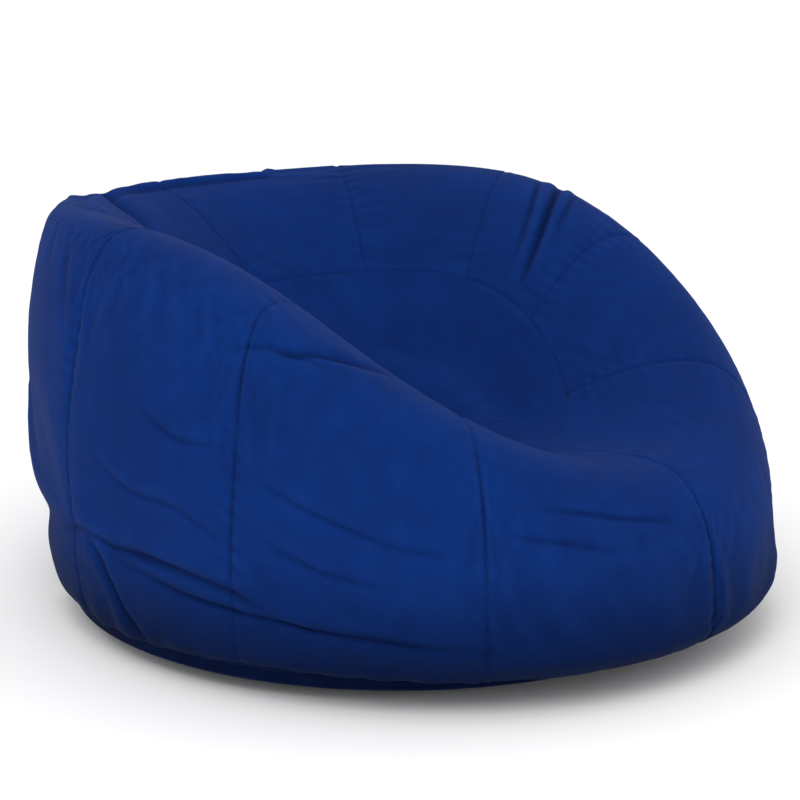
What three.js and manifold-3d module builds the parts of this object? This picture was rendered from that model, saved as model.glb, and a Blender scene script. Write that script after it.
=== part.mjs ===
// Child's bean bag chair: a zipped fabric cover of ten gores, a crown and a base, round a zipped
// inner liner that holds the foam filling. Millimetres, +Z up, the front of the seat towards -Y,
// origin on the floor under the middle of the bag. Angles called "turn" are in degrees, measured
// about +Z from the front, so 0 is the front, 90 is +X, 180 is the back.
import * as THREE from 'three';
import { mergeVertices } from 'three/addons/utils/BufferGeometryUtils.js';
import Module from 'manifold-3d';

// ---------------------------------------------------------------- driving dimensions
const GORES = 10;
const GORE_TURN = 360 / GORES;
const COLUMNS_PER_GORE = 4;
const SEAM_TURN_GAP = 0.06;
const SEAM_STEP_GAP = 0.0015;

// Shape of the sat-in bag: sums of cosines of the turn, [constant, cos, cos 2, cos 3].
const CREST_HEIGHT = [407, -110, -55, -5];
const CREST_RADIUS = [363, -40, 42];
const BELLY_RADIUS = [442, 1, 25];
const BELLY_HEIGHT = [148, -78];
const LOWER_ROUNDING = 1.25;
const UPPER_ROUNDING = 0.79;
const SEAT = { x: 0, y: -20, z: 190 };

// The base rests on a flat disc and rises outside it to the shoulder. Above that a straight band
// carries the seam to the gores, and the zip.
const BASE_FLAT_RADIUS = 318;
const BASE_SHOULDER_Z = 18;
const BAND_RADIUS = 396;
const BASE_RIM_TOP = 22;
const BAND_TOP = 36.4;
const SEAM_GAP = 0.4;

const COVER_THICKNESS = 1.5;
const LINER = { inset: 2.1, thickness: 0.8, bandRadius: 388, bottom: 3.4, underClear: 2.4 };
const FILLING = { inset: 3.5, bandRadius: 386.4, bottom: 4.8 };

// Stations up the surface: 0 to 1 the band, 1 to 2 the tuck below the belly, 2 to 3 the side
// up to the crest, 3 to 4 the hollow down to the seat.
const BAND_STATIONS = [0, 1];
const WALL_STATIONS = [1.25, 1.5, 1.75, 2, 2.2, 2.4, 2.6, 2.8, 3, 3.15, 3.3];
const CROWN_SEAM = 3.45;
const HOLLOW_STATIONS = [3.6, 3.8, 4];
const SEAT_STATION = 4;

// Cover zip, let into the base seam behind four of the gores.
const ZIP_FIRST_GORE = 2;
const ZIP_GORES = 4;
const ZIP_START = ZIP_FIRST_GORE * GORE_TURN;
const ZIP_END = ZIP_START + ZIP_GORES * GORE_TURN;
const ZIP_MIDDLE_Z = 29.2;
const ZIP = {
  slit: 0.8, coilWidth: 1.7, coilDepth: 2.6, gap: 0.3, endClear: 0.3, coilClear: 2.2,
  stopClear: 1.45, stopLength: 5, stopCorner: 0.6, stopProud: 0.5, stopInward: 0.2,
  arcStep: 3, sliderTurn: 4,
};
const SLIDER = {
  length: 12, width: 9.6, plate: 1.8, corner: 2, outerClear: 0.7, innerClear: 0.7,
  neckLength: 3, neckThickness: 0.4, bridgeHeight: 3.6, bridgeWidth: 2.4, bridgeHalf: 3, bridgeBar: 1,
};
const PULL = {
  length: 24, width: 7.6, thickness: 1.2, corner: 1.6, arm: 1.4, armOverlap: 1, eye: 5,
  barRadius: 0.7, barShort: 0.4, barFacets: 10,
};
const LABEL = { turn: 222, width: 30, height: 27, top: 33.5, clear: 0.8, thickness: 0.6 };

// Straight zip across the underside of the liner.
const LINER_ZIP = {
  length: 480, halfWidth: 8, slit: 0.8, coilWidth: 1.4, coilDepth: 1.8, gap: 0.3,
  stopLength: 4, stopInset: 1, sliderLength: 11, sliderWidth: 9, plate: 0.6, plateClear: 0.4,
  neckLength: 3, neckThickness: 0.4, sliderX: -225,
};
const GROOVE = { length: 500, width: 18, top: 9 };

// How far parts of one piece run into each other where they are joined.
const OVERLAP = 0.2;
const MERGE_DISTANCE = 1e-4;

const FINISH = {
  cover: new THREE.MeshStandardMaterial({ color: 0x152f72, roughness: 0.85, metalness: 0 }),
  liner: new THREE.MeshStandardMaterial({ color: 0xd9d6cc, roughness: 0.9, metalness: 0 }),
  foam: new THREE.MeshStandardMaterial({ color: 0xd8c690, roughness: 0.95, metalness: 0 }),
  zip: new THREE.MeshStandardMaterial({ color: 0x10214d, roughness: 0.6, metalness: 0 }),
  metal: new THREE.MeshStandardMaterial({ color: 0x8d9096, roughness: 0.35, metalness: 1 }),
  label: new THREE.MeshStandardMaterial({ color: 0xf0efe9, roughness: 0.7, metalness: 0 }),
};

// ---------------------------------------------------------------- shape of the bag
const radians = THREE.MathUtils.degToRad;

function cosineSum(terms, turn) {
  return terms.reduce((sum, term, order) => sum + term * Math.cos(order * radians(turn)), 0);
}

function onCircle(radius, turn, z) {
  return new THREE.Vector3(radius * Math.sin(radians(turn)), -radius * Math.cos(radians(turn)), z);
}

// The outside of the cover at a station and a turn.
function surfacePoint(station, turn) {
  const bellyRadius = cosineSum(BELLY_RADIUS, turn);
  const bellyHeight = cosineSum(BELLY_HEIGHT, turn);
  const crestRadius = cosineSum(CREST_RADIUS, turn);
  const crestHeight = cosineSum(CREST_HEIGHT, turn);
  if (station <= 1) {
    const bottom = BASE_RIM_TOP + SEAM_GAP;
    return onCircle(BAND_RADIUS, turn, bottom + (BAND_TOP - bottom) * station);
  }
  if (station <= 2) {
    const angle = (station - 1) * Math.PI / 2;
    const out = Math.sin(angle) ** LOWER_ROUNDING;
    const up = 1 - Math.max(Math.cos(angle), 0) ** LOWER_ROUNDING;
    const radius = BAND_RADIUS + (bellyRadius - BAND_RADIUS) * out;
    return onCircle(radius, turn, BAND_TOP + (bellyHeight - BAND_TOP) * up);
  }
  if (station <= 3) {
    const angle = (station - 2) * Math.PI / 2;
    const out = Math.max(Math.cos(angle), 0) ** UPPER_ROUNDING;
    const up = Math.sin(angle) ** UPPER_ROUNDING;
    const radius = crestRadius + (bellyRadius - crestRadius) * out;
    return onCircle(radius, turn, bellyHeight + (crestHeight - bellyHeight) * up);
  }
  const inward = station - 3;
  const drop = 0.5 - 0.5 * Math.cos(Math.PI * inward);
  const point = onCircle(crestRadius, turn, 0).lerp(new THREE.Vector3(SEAT.x, SEAT.y, 0), inward);
  point.z = crestHeight + (SEAT.z - crestHeight) * drop;
  return point;
}

// Outward normal, by stepping a little either way along the surface.
function surfaceNormal(station, turn) {
  if (station >= SEAT_STATION) return new THREE.Vector3(0, 0, 1);
  const step = 0.02;
  const below = surfacePoint(Math.max(station - step, 1), turn);
  const above = surfacePoint(Math.min(station + step, SEAT_STATION - step), turn);
  const before = surfacePoint(station, turn - 1);
  const after = surfacePoint(station, turn + 1);
  return after.sub(before).cross(above.sub(below)).normalize();
}

// A point of a layer that lies a given depth under the outside of the cover.
function layerPoint(station, turn, inset) {
  if (station <= 1) {
    return onCircle(BAND_RADIUS - inset, turn, surfacePoint(station, turn).z);
  }
  return surfacePoint(station, turn).addScaledVector(surfaceNormal(station, turn), -inset);
}

// ---------------------------------------------------------------- mesh helpers
// A closed body between two stacks of rings. Each ring is a list of points, and a ring of one
// point is a pole. Rings go round once if wrapped, else the two long sides are closed as well.
function solidBetween(outerRings, innerRings, wrapped) {
  const positions = [];
  const indices = [];
  const number = (rings) => rings.map((ring) => ring.map((point) => {
    positions.push(point.x, point.y, point.z);
    return positions.length / 3 - 1;
  }));
  const outer = number(outerRings);
  const inner = innerRings ? number(innerRings) : null;
  const quad = (a, b, c, d) => {
    if (a !== b && b !== c && a !== c) indices.push(a, b, c);
    if (a !== c && c !== d && a !== d) indices.push(a, c, d);
  };
  const at = (ring, column) => ring[ring.length === 1 ? 0 : column % ring.length];
  const strip = (low, high, flip) => {
    const count = Math.max(low.length, high.length);
    const columns = wrapped ? count : count - 1;
    for (let c = 0; c < columns; c += 1) {
      const [first, second, third, fourth] = [at(low, c), at(low, c + 1), at(high, c + 1), at(high, c)];
      if (flip) quad(first, fourth, third, second);
      else quad(first, second, third, fourth);
    }
  };
  const last = outer.length - 1;
  for (let row = 0; row < last; row += 1) {
    strip(outer[row], outer[row + 1], false);
    if (inner) strip(inner[row], inner[row + 1], true);
  }
  if (inner) {
    strip(inner[0], outer[0], false);
    if (outer[last].length > 1) strip(outer[last], inner[last], false);
  }
  if (!wrapped) {
    const end = outer[0].length - 1;
    for (let row = 0; row < last; row += 1) {
      quad(inner[row][0], outer[row][0], outer[row + 1][0], inner[row + 1][0]);
      quad(outer[row][end], inner[row][end], inner[row + 1][end], outer[row + 1][end]);
    }
  }
  const geometry = new THREE.BufferGeometry();
  geometry.setAttribute('position', new THREE.Float32BufferAttribute(positions, 3));
  geometry.setIndex(indices);
  geometry.computeVertexNormals();
  return geometry;
}

// The rings of one layer of the bag.
function layerRings(stations, turns, inset) {
  return stations.map((station) => {
    const ringTurns = station >= SEAT_STATION ? [0] : turns;
    return ringTurns.map((turn) => layerPoint(station, turn, inset));
  });
}

function fullTurns() {
  const count = GORES * COLUMNS_PER_GORE;
  return Array.from({ length: count }, (_, column) => (column * 360) / count);
}

// A bar of rectangular section that follows the band round from one turn to another.
function ringBar(innerRadius, outerRadius, startTurn, endTurn, bottom, top) {
  const start = radians(startTurn - 90);
  const end = radians(endTurn - 90);
  const outline = new THREE.Shape();
  outline.absarc(0, 0, outerRadius, start, end, false);
  outline.absarc(0, 0, innerRadius, end, start, true);
  const curveSegments = Math.max(1, Math.round((endTurn - startTurn) / ZIP.arcStep));
  const options = { depth: top - bottom, bevelEnabled: false, curveSegments };
  return new THREE.ExtrudeGeometry(outline, options).translate(0, 0, bottom);
}

// A box from its low and high corners.
function boxBetween(low, high) {
  const size = high.map((value, axis) => value - low[axis]);
  const middle = high.map((value, axis) => (value + low[axis]) / 2);
  return new THREE.BoxGeometry(...size).translate(...middle);
}

// A plate with cut corners, lying in the plane across its thickness on X.
function plate(lowX, highX, halfLength, lowZ, highZ, corner) {
  const outline = new THREE.Shape([
    new THREE.Vector2(-halfLength + corner, lowZ),
    new THREE.Vector2(halfLength - corner, lowZ),
    new THREE.Vector2(halfLength, lowZ + corner),
    new THREE.Vector2(halfLength, highZ - corner),
    new THREE.Vector2(halfLength - corner, highZ),
    new THREE.Vector2(-halfLength + corner, highZ),
    new THREE.Vector2(-halfLength, highZ - corner),
    new THREE.Vector2(-halfLength, lowZ + corner),
  ]);
  const slab = new THREE.ExtrudeGeometry(outline, { depth: highX - lowX, bevelEnabled: false });
  // Drawn flat, then stood up: drawing X to Y, drawing Y to Z, depth to X.
  return slab.applyMatrix4(new THREE.Matrix4().set(0, 0, 1, lowX, 1, 0, 0, 0, 0, 1, 0, 0, 0, 0, 0, 1));
}

const wasm = await Module();
wasm.setup();

function toManifold(geometry) {
  const plain = new THREE.BufferGeometry();
  plain.setAttribute('position', geometry.getAttribute('position').clone());
  if (geometry.index) plain.setIndex(geometry.index.clone());
  const merged = mergeVertices(plain, MERGE_DISTANCE);
  const mesh = new wasm.Mesh({
    numProp: 3,
    vertProperties: new Float32Array(merged.getAttribute('position').array),
    triVerts: new Uint32Array(merged.index.array),
  });
  return new wasm.Manifold(mesh);
}

function toGeometry(manifold) {
  const mesh = manifold.getMesh();
  const geometry = new THREE.BufferGeometry();
  geometry.setAttribute('position', new THREE.BufferAttribute(new Float32Array(mesh.vertProperties), 3));
  geometry.setIndex(new THREE.BufferAttribute(new Uint32Array(mesh.triVerts), 1));
  geometry.computeVertexNormals();
  return geometry;
}

function joined(...geometries) {
  return toGeometry(geometries.map(toManifold).reduce((whole, next) => whole.add(next)));
}

function cut(geometry, tool) {
  return toGeometry(toManifold(geometry).subtract(toManifold(tool)));
}

const group = new THREE.Group();

function addPiece(name, geometry, finish, turn = null) {
  const mesh = new THREE.Mesh(geometry, finish);
  mesh.name = name;
  if (turn !== null) mesh.rotation.z = radians(turn - 90);
  group.add(mesh);
  return mesh;
}

// ---------------------------------------------------------------- outer cover
const zipGores = Array.from({ length: ZIP_GORES }, (_, index) => ZIP_FIRST_GORE + index);

for (let gore = 0; gore < GORES; gore += 1) {
  const step = GORE_TURN / COLUMNS_PER_GORE;
  const turns = Array.from({ length: COLUMNS_PER_GORE + 1 }, (_, column) => gore * GORE_TURN + column * step);
  // Each gore stops just short of its neighbours.
  turns[0] += SEAM_TURN_GAP;
  turns[COLUMNS_PER_GORE] -= SEAM_TURN_GAP;
  // Over the zip a gore stops above the upper tape; elsewhere it runs down to the base.
  const band = zipGores.includes(gore) ? [1] : BAND_STATIONS;
  const stations = [...band, ...WALL_STATIONS, CROWN_SEAM - SEAM_STEP_GAP];
  const outside = layerRings(stations, turns, 0);
  const inside = layerRings(stations, turns, COVER_THICKNESS);
  const name = `side_panel_${String(gore + 1).padStart(2, '0')}`;
  addPiece(name, solidBetween(outside, inside, false), FINISH.cover);
}

const crownStations = [CROWN_SEAM + SEAM_STEP_GAP, ...HOLLOW_STATIONS];
addPiece('crown_panel', solidBetween(
  layerRings(crownStations, fullTurns(), 0),
  layerRings(crownStations, fullTurns(), COVER_THICKNESS),
  true,
), FINISH.cover);

// Base: a flat disc whose outer part rises to the shoulder and turns up to the seam.
const innerBand = BAND_RADIUS - COVER_THICKNESS;
const baseSlope = BASE_SHOULDER_Z / (BAND_RADIUS - BASE_FLAT_RADIUS);
const baseRise = COVER_THICKNESS * Math.hypot(1, baseSlope);
const baseProfile = [
  [0, 0], [BASE_FLAT_RADIUS, 0], [BAND_RADIUS, BASE_SHOULDER_Z], [BAND_RADIUS, BASE_RIM_TOP],
  [innerBand, BASE_RIM_TOP], [innerBand, baseSlope * (innerBand - BASE_FLAT_RADIUS) + baseRise],
  [BASE_FLAT_RADIUS, baseRise], [0, baseRise],
].map(([radius, z]) => new THREE.Vector2(radius, z));
const baseSegments = 2 * GORES * COLUMNS_PER_GORE;
addPiece('base_panel', new THREE.LatheGeometry(baseProfile, baseSegments).rotateX(Math.PI / 2), FINISH.cover);

// ---------------------------------------------------------------- cover zip
const slitLow = ZIP_MIDDLE_Z - ZIP.slit / 2;
const slitHigh = ZIP_MIDDLE_Z + ZIP.slit / 2;
const coilLow = slitLow - ZIP.coilWidth;
const coilHigh = slitHigh + ZIP.coilWidth;
const tapeMiddle = BAND_RADIUS - COVER_THICKNESS / 2;
const coilInner = tapeMiddle - ZIP.coilDepth / 2;
const coilOuter = tapeMiddle + ZIP.coilDepth / 2;
const tapeEnds = [ZIP_START + ZIP.endClear, ZIP_END - ZIP.endClear];
const coilEnds = [ZIP_START + ZIP.coilClear, ZIP_END - ZIP.coilClear];
const tapeBottom = BASE_RIM_TOP + SEAM_GAP;
const tapeTop = BAND_TOP - SEAM_GAP;

addPiece('cover_zip_tape_lower',
  ringBar(innerBand, BAND_RADIUS, ...tapeEnds, tapeBottom, coilLow - ZIP.gap), FINISH.zip);
addPiece('cover_zip_tape_upper',
  ringBar(innerBand, BAND_RADIUS, ...tapeEnds, coilHigh + ZIP.gap, tapeTop), FINISH.zip);
addPiece('cover_zip_coil_lower', ringBar(coilInner, coilOuter, ...coilEnds, coilLow, slitLow), FINISH.zip);
addPiece('cover_zip_coil_upper', ringBar(coilInner, coilOuter, ...coilEnds, slitHigh, coilHigh), FINISH.zip);

function coverZipStop(name, turn) {
  const half = ZIP.stopLength / 2;
  const low = coilInner - ZIP.stopInward;
  const high = coilOuter + ZIP.stopProud;
  const stop = plate(low, high, half, coilLow, coilHigh, ZIP.stopCorner);
  addPiece(name, stop, FINISH.metal, turn);
}
coverZipStop('cover_zip_stop_closed', ZIP_START + ZIP.stopClear);
coverZipStop('cover_zip_stop_open', ZIP_END - ZIP.stopClear);

// Slider: a plate each side of the coils, the neck between the two, and a bridge for the pull.
const sliderLow = ZIP_MIDDLE_Z - SLIDER.width / 2;
const sliderHigh = ZIP_MIDDLE_Z + SLIDER.width / 2;
const outerFace = coilOuter + SLIDER.outerClear;
const innerFace = coilInner - SLIDER.innerClear;
const plateFace = outerFace + SLIDER.plate;
const bridgeFace = plateFace + SLIDER.bridgeHeight;
const halfLength = SLIDER.length / 2;
const halfBridge = SLIDER.bridgeWidth / 2;
const bridgeLeg = (side) => {
  const near = side * (SLIDER.bridgeHalf - SLIDER.bridgeBar);
  const far = side * SLIDER.bridgeHalf;
  return boxBetween(
    [plateFace - OVERLAP, Math.min(near, far), ZIP_MIDDLE_Z - halfBridge],
    [bridgeFace, Math.max(near, far), ZIP_MIDDLE_Z + halfBridge],
  );
};
const sliderTurn = ZIP_START + ZIP.sliderTurn;
addPiece('cover_zip_slider', joined(
  plate(outerFace, plateFace, halfLength, sliderLow, sliderHigh, SLIDER.corner),
  plate(innerFace - SLIDER.plate, innerFace, halfLength, sliderLow, sliderHigh, SLIDER.corner),
  boxBetween(
    [innerFace - OVERLAP, halfLength - SLIDER.neckLength, ZIP_MIDDLE_Z - SLIDER.neckThickness / 2],
    [outerFace + OVERLAP, halfLength, ZIP_MIDDLE_Z + SLIDER.neckThickness / 2],
  ),
  bridgeLeg(-1),
  bridgeLeg(1),
  boxBetween(
    [bridgeFace - SLIDER.bridgeBar, -SLIDER.bridgeHalf, ZIP_MIDDLE_Z - halfBridge],
    [bridgeFace, SLIDER.bridgeHalf, ZIP_MIDDLE_Z + halfBridge],
  ),
), FINISH.metal, sliderTurn);

// Pull: its cross bar lies under the bridge, two arms lead to the tab.
const pullAxis = plateFace + (SLIDER.bridgeHeight - SLIDER.bridgeBar) / 2;
const pullLow = pullAxis - PULL.thickness / 2;
const pullHigh = pullAxis + PULL.thickness / 2;
const pullBottom = ZIP_MIDDLE_Z - PULL.width / 2;
const pullTop = ZIP_MIDDLE_Z + PULL.width / 2;
const barLength = PULL.width - PULL.barShort;
const crossBar = new THREE.CylinderGeometry(PULL.barRadius, PULL.barRadius, barLength, PULL.barFacets)
  .rotateX(Math.PI / 2)
  .translate(pullAxis, 0, ZIP_MIDDLE_Z);
const tabHalf = (PULL.length - PULL.eye) / 2;
const armEnd = -PULL.eye - PULL.armOverlap;
addPiece('cover_zip_pull', joined(
  crossBar,
  boxBetween([pullLow, armEnd, pullBottom], [pullHigh, 0, pullBottom + PULL.arm]),
  boxBetween([pullLow, armEnd, pullTop - PULL.arm], [pullHigh, 0, pullTop]),
  plate(pullLow, pullHigh, tabHalf, pullBottom, pullTop, PULL.corner).translate(0, -PULL.eye - tabHalf, 0),
), FINISH.metal, sliderTurn);

// Blank care label, sewn into the base seam beside the zip.
const labelInner = BAND_RADIUS + LABEL.clear;
addPiece('care_label', boxBetween(
  [labelInner, -LABEL.width / 2, LABEL.top - LABEL.height],
  [labelInner + LABEL.thickness, LABEL.width / 2, LABEL.top],
), FINISH.label, LABEL.turn);

// ---------------------------------------------------------------- inner liner
const linerBody = [...WALL_STATIONS, CROWN_SEAM, ...HOLLOW_STATIONS];

// An inner layer: it rises from the flat disc beside the base, then follows a band and the bag.
function innerLayer(bandRadius, bottom, inset) {
  const ring = (radius, z) => fullTurns().map((turn) => onCircle(radius, turn, z));
  const shoulder = bottom + baseSlope * (bandRadius - BASE_FLAT_RADIUS);
  return [
    ring(BASE_FLAT_RADIUS, bottom), ring(bandRadius, shoulder), ring(bandRadius, BAND_TOP),
    ...layerRings(linerBody, fullTurns(), inset),
  ];
}
const linerInside = {
  bandRadius: LINER.bandRadius - LINER.thickness,
  bottom: LINER.bottom + LINER.thickness,
  inset: LINER.inset + LINER.thickness,
};
addPiece('liner_shell', solidBetween(
  innerLayer(LINER.bandRadius, LINER.bottom, LINER.inset),
  innerLayer(linerInside.bandRadius, linerInside.bottom, linerInside.inset),
  true,
), FINISH.liner);

// Underside of the liner: two half discs with room between them for the zip.
const underRadius = BASE_FLAT_RADIUS - LINER.underClear;
const halfZip = LINER_ZIP.length / 2;
function linerHalf(name, side) {
  const outline = new THREE.Shape();
  const edge = side * (SEAM_GAP / 2);
  const notch = side * (LINER_ZIP.halfWidth + SEAM_GAP / 2);
  const reach = Math.sqrt(underRadius ** 2 - edge ** 2);
  const corner = Math.atan2(edge, reach);
  outline.moveTo(halfZip, edge);
  outline.lineTo(reach, edge);
  outline.absarc(0, 0, underRadius, corner, Math.PI - corner, side < 0);
  outline.lineTo(-halfZip, edge);
  outline.lineTo(-halfZip, notch);
  outline.lineTo(halfZip, notch);
  const options = { depth: LINER.thickness, bevelEnabled: false, curveSegments: 20 };
  addPiece(name, new THREE.ExtrudeGeometry(outline, options).translate(0, 0, LINER.bottom), FINISH.liner);
}
linerHalf('liner_base_front', -1);
linerHalf('liner_base_rear', 1);

// ---------------------------------------------------------------- liner zip
const linerMiddle = LINER.bottom + LINER.thickness / 2;
const linerCoilNear = LINER_ZIP.slit / 2;
const linerCoilFar = linerCoilNear + LINER_ZIP.coilWidth;
const linerStopX = halfZip - LINER_ZIP.stopInset - LINER_ZIP.stopLength / 2;
const linerCoilEnd = linerStopX - LINER_ZIP.stopLength / 2 - LINER_ZIP.gap;
const linerCoilBottom = linerMiddle - LINER_ZIP.coilDepth / 2;
const linerCoilTop = linerMiddle + LINER_ZIP.coilDepth / 2;

function linerStrip(name, side, near, far, halfSpan, bottom, top, finish) {
  const across = [side * near, side * far].sort((a, b) => a - b);
  addPiece(name, boxBetween([-halfSpan, across[0], bottom], [halfSpan, across[1], top]), finish);
}
for (const [end, side] of [['front', -1], ['rear', 1]]) {
  linerStrip(`liner_zip_tape_${end}`, side, linerCoilFar + LINER_ZIP.gap, LINER_ZIP.halfWidth,
    halfZip - LINER_ZIP.gap, LINER.bottom, LINER.bottom + LINER.thickness, FINISH.liner);
  linerStrip(`liner_zip_coil_${end}`, side, linerCoilNear, linerCoilFar,
    linerCoilEnd, linerCoilBottom, linerCoilTop, FINISH.liner);
}
for (const [end, side] of [['closed', -1], ['open', 1]]) {
  const half = LINER_ZIP.stopLength / 2;
  addPiece(`liner_zip_stop_${end}`, boxBetween(
    [side * linerStopX - half, -linerCoilFar, linerCoilBottom],
    [side * linerStopX + half, linerCoilFar, linerCoilTop],
  ), FINISH.metal);
}

// Locking slider with no pull, so that a child can't open the liner.
const lowerTop = linerCoilBottom - LINER_ZIP.plateClear;
const upperBottom = linerCoilTop + LINER_ZIP.plateClear;
const sliderHalf = LINER_ZIP.sliderLength / 2;
const sliderSide = LINER_ZIP.sliderWidth / 2;
const neckHalf = LINER_ZIP.neckThickness / 2;
const linerSlider = joined(
  boxBetween([-sliderHalf, -sliderSide, lowerTop - LINER_ZIP.plate], [sliderHalf, sliderSide, lowerTop]),
  boxBetween(
    [-sliderHalf, -sliderSide, upperBottom],
    [sliderHalf, sliderSide, upperBottom + LINER_ZIP.plate],
  ),
  boxBetween(
    [-sliderHalf, -neckHalf, lowerTop - OVERLAP],
    [-sliderHalf + LINER_ZIP.neckLength, neckHalf, upperBottom + OVERLAP],
  ),
);
addPiece('liner_zip_slider', linerSlider, FINISH.metal).position.x = LINER_ZIP.sliderX;

// ---------------------------------------------------------------- filling
const fillingRings = [
  [new THREE.Vector3(0, 0, FILLING.bottom)],
  ...innerLayer(FILLING.bandRadius, FILLING.bottom, FILLING.inset),
];
const groove = boxBetween(
  [-GROOVE.length / 2, -GROOVE.width / 2, FILLING.bottom - 1],
  [GROOVE.length / 2, GROOVE.width / 2, GROOVE.top],
);
addPiece('foam_filling', cut(solidBetween(fillingRings, null, true), groove), FINISH.foam);

export default group;
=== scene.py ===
"""Child's bean bag chair: a simulated gore cover with zips, liner and foam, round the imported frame."""
import logging
import math
from collections.abc import Callable
from dataclasses import dataclass, field
from enum import Enum

import bpy
import numpy as np
from mathutils import Matrix, Vector


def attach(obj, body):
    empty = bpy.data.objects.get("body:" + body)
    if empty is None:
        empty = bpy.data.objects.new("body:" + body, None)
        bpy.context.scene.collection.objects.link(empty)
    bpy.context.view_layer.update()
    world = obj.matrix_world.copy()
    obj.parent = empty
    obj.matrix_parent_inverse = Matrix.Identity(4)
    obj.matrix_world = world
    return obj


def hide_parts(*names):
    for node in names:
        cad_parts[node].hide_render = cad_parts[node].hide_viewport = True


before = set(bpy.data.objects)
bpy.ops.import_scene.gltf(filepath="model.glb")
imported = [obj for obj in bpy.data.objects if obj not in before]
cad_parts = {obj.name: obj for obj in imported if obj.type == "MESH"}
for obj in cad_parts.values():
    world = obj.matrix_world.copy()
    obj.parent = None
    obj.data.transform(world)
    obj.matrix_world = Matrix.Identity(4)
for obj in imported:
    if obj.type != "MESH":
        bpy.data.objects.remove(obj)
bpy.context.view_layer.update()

logging.basicConfig(level=logging.INFO, format="%(name)s: %(message)s")
LOG = logging.getLogger("bean_bag")

Colour = tuple[float, float, float]
Corner = tuple[float, float, float]
Array = np.ndarray
BODY = "bag"
MERGE_DISTANCE = 1e-6
GORES = 10
GORE_TURN = 360 / GORES


# ---------------------------------------------------------------- shader maths
class Graph:
    """A material's node tree, with one method that makes any node."""

    def __init__(self, name: str) -> None:
        """Start an empty material that ends in an output node.

        Args:
            name: the material's name.
        """
        self.material = bpy.data.materials.new(name)
        self.material.use_nodes = True
        self.tree = self.material.node_tree
        self.tree.nodes.clear()

    def node(self, kind: str, settings: dict | None = None, inputs: dict | None = None) -> bpy.types.Node:
        """Make a node, set its settings first and then its sockets.

        Args:
            kind: the node's type name, without the "ShaderNode" in front.
            settings: attributes of the node, such as a Math node's operation.
            inputs: socket name or number to a value, a Signal or a socket.

        Returns:
            The new node.
        """
        made = self.tree.nodes.new(f"ShaderNode{kind}")
        for key, value in (settings or {}).items():
            setattr(made, key, value)
        for key, value in (inputs or {}).items():
            socket = made.inputs[key]
            if isinstance(value, Signal):
                self.tree.links.new(value.socket, socket)
            elif isinstance(value, bpy.types.NodeSocket):
                self.tree.links.new(value, socket)
            else:
                socket.default_value = value
        return made

    def signal(self, kind: str, output: str | int, settings: dict | None = None,
               inputs: dict | None = None) -> "Signal":
        """Make a node and wrap one of its outputs.

        Args:
            kind: the node's type name.
            output: which output to wrap.
            settings: the node's settings.
            inputs: the node's inputs.

        Returns:
            The wrapped output.
        """
        return Signal(self, self.node(kind, settings, inputs).outputs[output])

    def noise(self, where: "Signal", scale: float, detail: float = 3.0, rough: float = 0.55) -> "Signal":
        """A noise value from 0 to 1 at a place."""
        inputs = {"Vector": where, "Scale": scale, "Detail": detail, "Roughness": rough}
        return self.signal("TexNoise", 0, {}, inputs)

    def mix(self, share: "Signal", low: "Colour | Signal", high: "Colour | Signal") -> "Signal":
        """Blend two colours.

        Args:
            share: 0 gives low and 1 gives high.
            low: the first colour, plain or a signal.
            high: the second colour, plain or a signal.

        Returns:
            The blended colour.
        """
        full = [c if isinstance(c, Signal) else (*c, 1.0) for c in (low, high)]
        node = self.node("Mix", {"data_type": "RGBA"}, {0: share, 6: full[0], 7: full[1]})
        return Signal(self, node.outputs[2])

    def attribute(self, name: str) -> "Signal":
        """The value of a piece's own number attribute."""
        return self.signal("Attribute", "Fac", {"attribute_name": name})

    def finish(self, shader: dict, bump: "list[tuple[Signal, float]] | None" = None) -> bpy.types.Material:
        """Close the graph with a Principled shader and its bumps.

        Args:
            shader: Principled socket name to value or signal.
            bump: (height signal, height in metres) pairs, coarse first.

        Returns:
            The finished material.
        """
        normal = None
        for height, distance in bump or []:
            inputs = {"Height": height, "Distance": distance, "Strength": 1.0}
            if normal is not None:
                inputs["Normal"] = normal
            normal = self.node("Bump", {}, inputs).outputs["Normal"]
        if normal is not None:
            shader = {**shader, "Normal": normal}
        principled = self.node("BsdfPrincipled", {}, shader)
        self.node("OutputMaterial", {}, {"Surface": principled.outputs[0]})
        return self.material


class Signal:
    """A socket that adds Math nodes when it is used in an expression."""

    def __init__(self, graph: Graph, socket: bpy.types.NodeSocket) -> None:
        """Wrap an output socket of a graph."""
        self.graph = graph
        self.socket = socket

    def _math(self, operation: str, *operands: "Signal | float") -> "Signal":
        """One Math node over the operands."""
        return self.graph.signal("Math", 0, {"operation": operation}, dict(enumerate(operands)))

    def __add__(self, other: "Signal | float") -> "Signal":
        """Sum."""
        return self._math("ADD", self, other)

    __radd__ = __add__

    def __sub__(self, other: "Signal | float") -> "Signal":
        """Difference."""
        return self._math("SUBTRACT", self, other)

    def __rsub__(self, other: float) -> "Signal":
        """Difference from a number."""
        return self._math("SUBTRACT", other, self)

    def __mul__(self, other: "Signal | float") -> "Signal":
        """Product."""
        return self._math("MULTIPLY", self, other)

    __rmul__ = __mul__

    def clamp(self) -> "Signal":
        """Keep the value between 0 and 1."""
        return self.graph.signal("Clamp", 0, {}, {0: self})

    def ramp(self, low: float, high: float) -> "Signal":
        """0 below low, 1 above high, smooth between."""
        inputs = {"Value": self, "From Min": low, "From Max": high}
        return self.graph.signal("MapRange", 0, {"interpolation_type": "SMOOTHSTEP"}, inputs)

    def wave(self, pitch: float) -> "Signal":
        """A sine of this many metres a turn, from 0 to 1."""
        return self._math("SINE", self * (2 * math.pi / pitch)) * 0.5 + 0.5


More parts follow.
